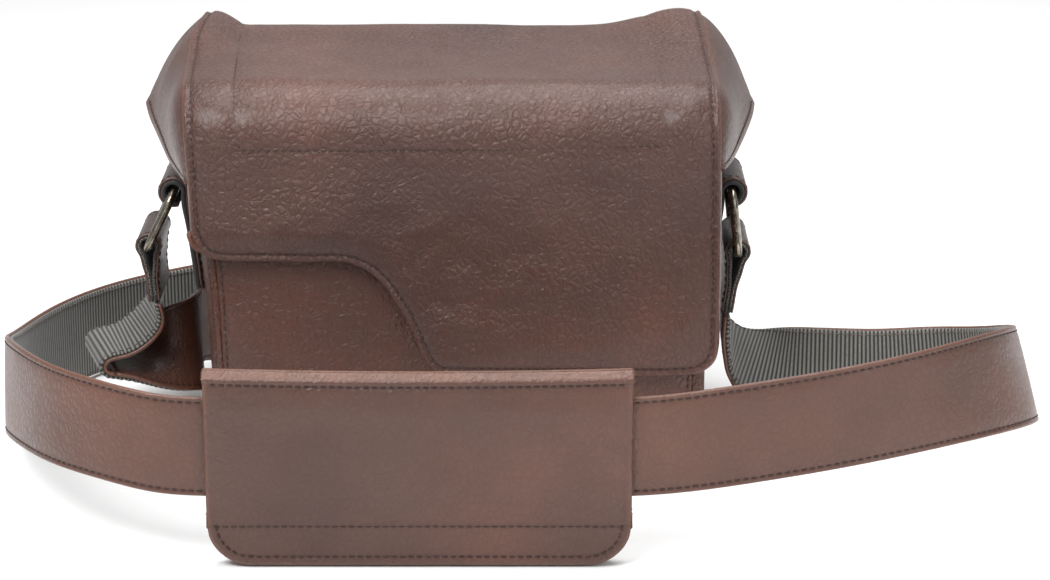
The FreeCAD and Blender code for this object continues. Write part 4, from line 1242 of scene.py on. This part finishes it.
def pad_skin(name, sign, plane, nodes):
    """One leather face of the pad; `sign` -1 is its front."""
    u = np.unique(np.concatenate([np.arange(0, 6, 0.8), np.arange(6, 196.4, 2.4), 202.4 - np.arange(0, 6, 0.8)]))
    x = PAD_LEFT + u
    depth = np.zeros(len(x))
    for cx, side in ((PAD_LEFT + PAD_R, -1), (PAD_RIGHT - PAD_R, 1)):
        over = np.clip((x - cx) * side, 0, PAD_R)
        depth = np.maximum(depth, PAD_R - np.sqrt(PAD_R ** 2 - over ** 2))
    low = 0.6 + depth
    v = np.unique(np.concatenate([np.arange(0, 7, 0.8), np.arange(7, 90, 2.2), 97.4 - np.arange(0, 7.4, 0.7)])) / 97.4
    z = low[:, None] + (PAD_TOP - low[:, None]) * v[None]
    x = np.broadcast_to(x[:, None], z.shape)
    d = pad_edge(x, z)
    sag = -1.6 * (1 - ((x + 15.5) / 101.2) ** 2) * smooth_step(z, 40, 98)
    top = PAD_TOP - z
    out = 1.4 * smooth_step(z, 26, 40) * (1 - smooth_step(z, 78, 92)) * smooth_step(d, 0, 10)
    out += (0.35 * ripple(x, z * 0.5, 60.0, 31) * smooth_step(d, 5, 20)
            + 0.12 * ripple(x, z * 0.25, 12.0, 33) * smooth_step(z, 60, 90))
    out -= 4.2 * np.clip(1 - top / 5.2, 0, 1) ** 1.35
    out += 0.9 * bell(top, 3.0, 1.5) - 0.7 * bell(top, 6.0, 1.0)
    out -= 0.55 * bell(d, 4.2, 1.0) * (z < 30) + 0.55 * bell(z, 20.5, 1.1)
    out -= 0.9 * bell(d, 0.0, 1.2) * (top > 4)
    outer = np.stack([x, plane + sign * (out - 0.9), z + sag], -1)
    seam = np.maximum(bell(top, 6.0, 1.1), bell(z, 20.5, 1.1))
    inside = np.minimum(d, np.maximum(top - 2.0, 0.0) + 0.2)
    skin = slab(name, outer, 2.0, PAD_LEATHER, "shoulder_pad", "pad_leather", nodes, away=(0, sign, 0),
                inside=inside, seam=seam)

    def row(points):
        points = np.asarray(points, float)
        i = np.searchsorted(x[:, 0], points[:, 0]).clip(1, len(x) - 1)
        picked = []
        for k, (px, pz) in zip(i, points):
            column = outer[k]
            j = int(np.argmin(np.abs(z[k] - pz)))
            picked.append((px, column[j, 1], pz + sag[k, j]))
        return np.array(picked) + (0, sign * 0.15, 0), np.tile([0.0, float(sign), 0.0], (len(picked), 1))

    across = np.arange(PAD_LEFT + 3, PAD_RIGHT - 2.5, 1.0)
    lines = [row([(a, PAD_TOP - 6.0) for a in across]), row([(a, 20.5) for a in across])]
    inset = 4.4
    around = []
    for cx, first in ((PAD_LEFT + PAD_R, 180), (PAD_RIGHT - PAD_R, 270)):
        around += [(cx + (PAD_R - inset) * cos(radians(a)), PAD_R + 0.6 + (PAD_R - inset) * sin(radians(a)))
                   for a in np.linspace(first, first + 90, 24)]
    around = paired(along, around)
    lines.append(row(around))
    stitches(name + "_stitches", lines, THREAD, "shoulder_pad")


def pad():
    """The shoulder pad's two faces and the fillings between them."""
    pad_skin("pad_front", -1, PAD_FRONT_Y, ("pad_front", "pad_upper_welt"))
    pad_skin("pad_back", 1, PAD_BACK_Y, ("pad_back", "pad_lower_welt"))
    for name, z_low, z_high, inset in (("pad_upper_filler", 90.5, 95.0, 1.2), ("pad_lower_filler", 2.2, 22.0, 3.0)):
        x = np.arange(PAD_LEFT + inset, PAD_RIGHT - inset, 4.0)
        count = len(x)
        centres = np.stack([x, np.full(count, (PAD_FRONT_Y + PAD_BACK_Y) / 2),
                            np.full(count, (z_low + z_high) / 2)], 1)
        across, up = np.tile([0.0, 1.0, 0.0], (count, 1)), np.tile([0.0, 0.0, 1.0], (count, 1))
        half_y, half_z = (3.3 if z_low > 50 else 4.6), (z_high - z_low) / 2
        base = np.array(oval(half_y, half_z, 0.5, 0.5, 24))
        section = np.broadcast_to(base, (count,) + base.shape).copy()
        if z_low < 50:
            near = np.minimum(x - PAD_LEFT, PAD_RIGHT - x)
            lift = np.where(near < PAD_R, PAD_R - np.sqrt(np.maximum(PAD_R ** 2 - (PAD_R - near) ** 2, 0)), 0)
            section[..., 1] = np.maximum(section[..., 1], (lift - half_z)[:, None])
        sweep(name, centres, across, up, section, PAD_LEATHER, "shoulder_pad", "pad_leather")


pad()
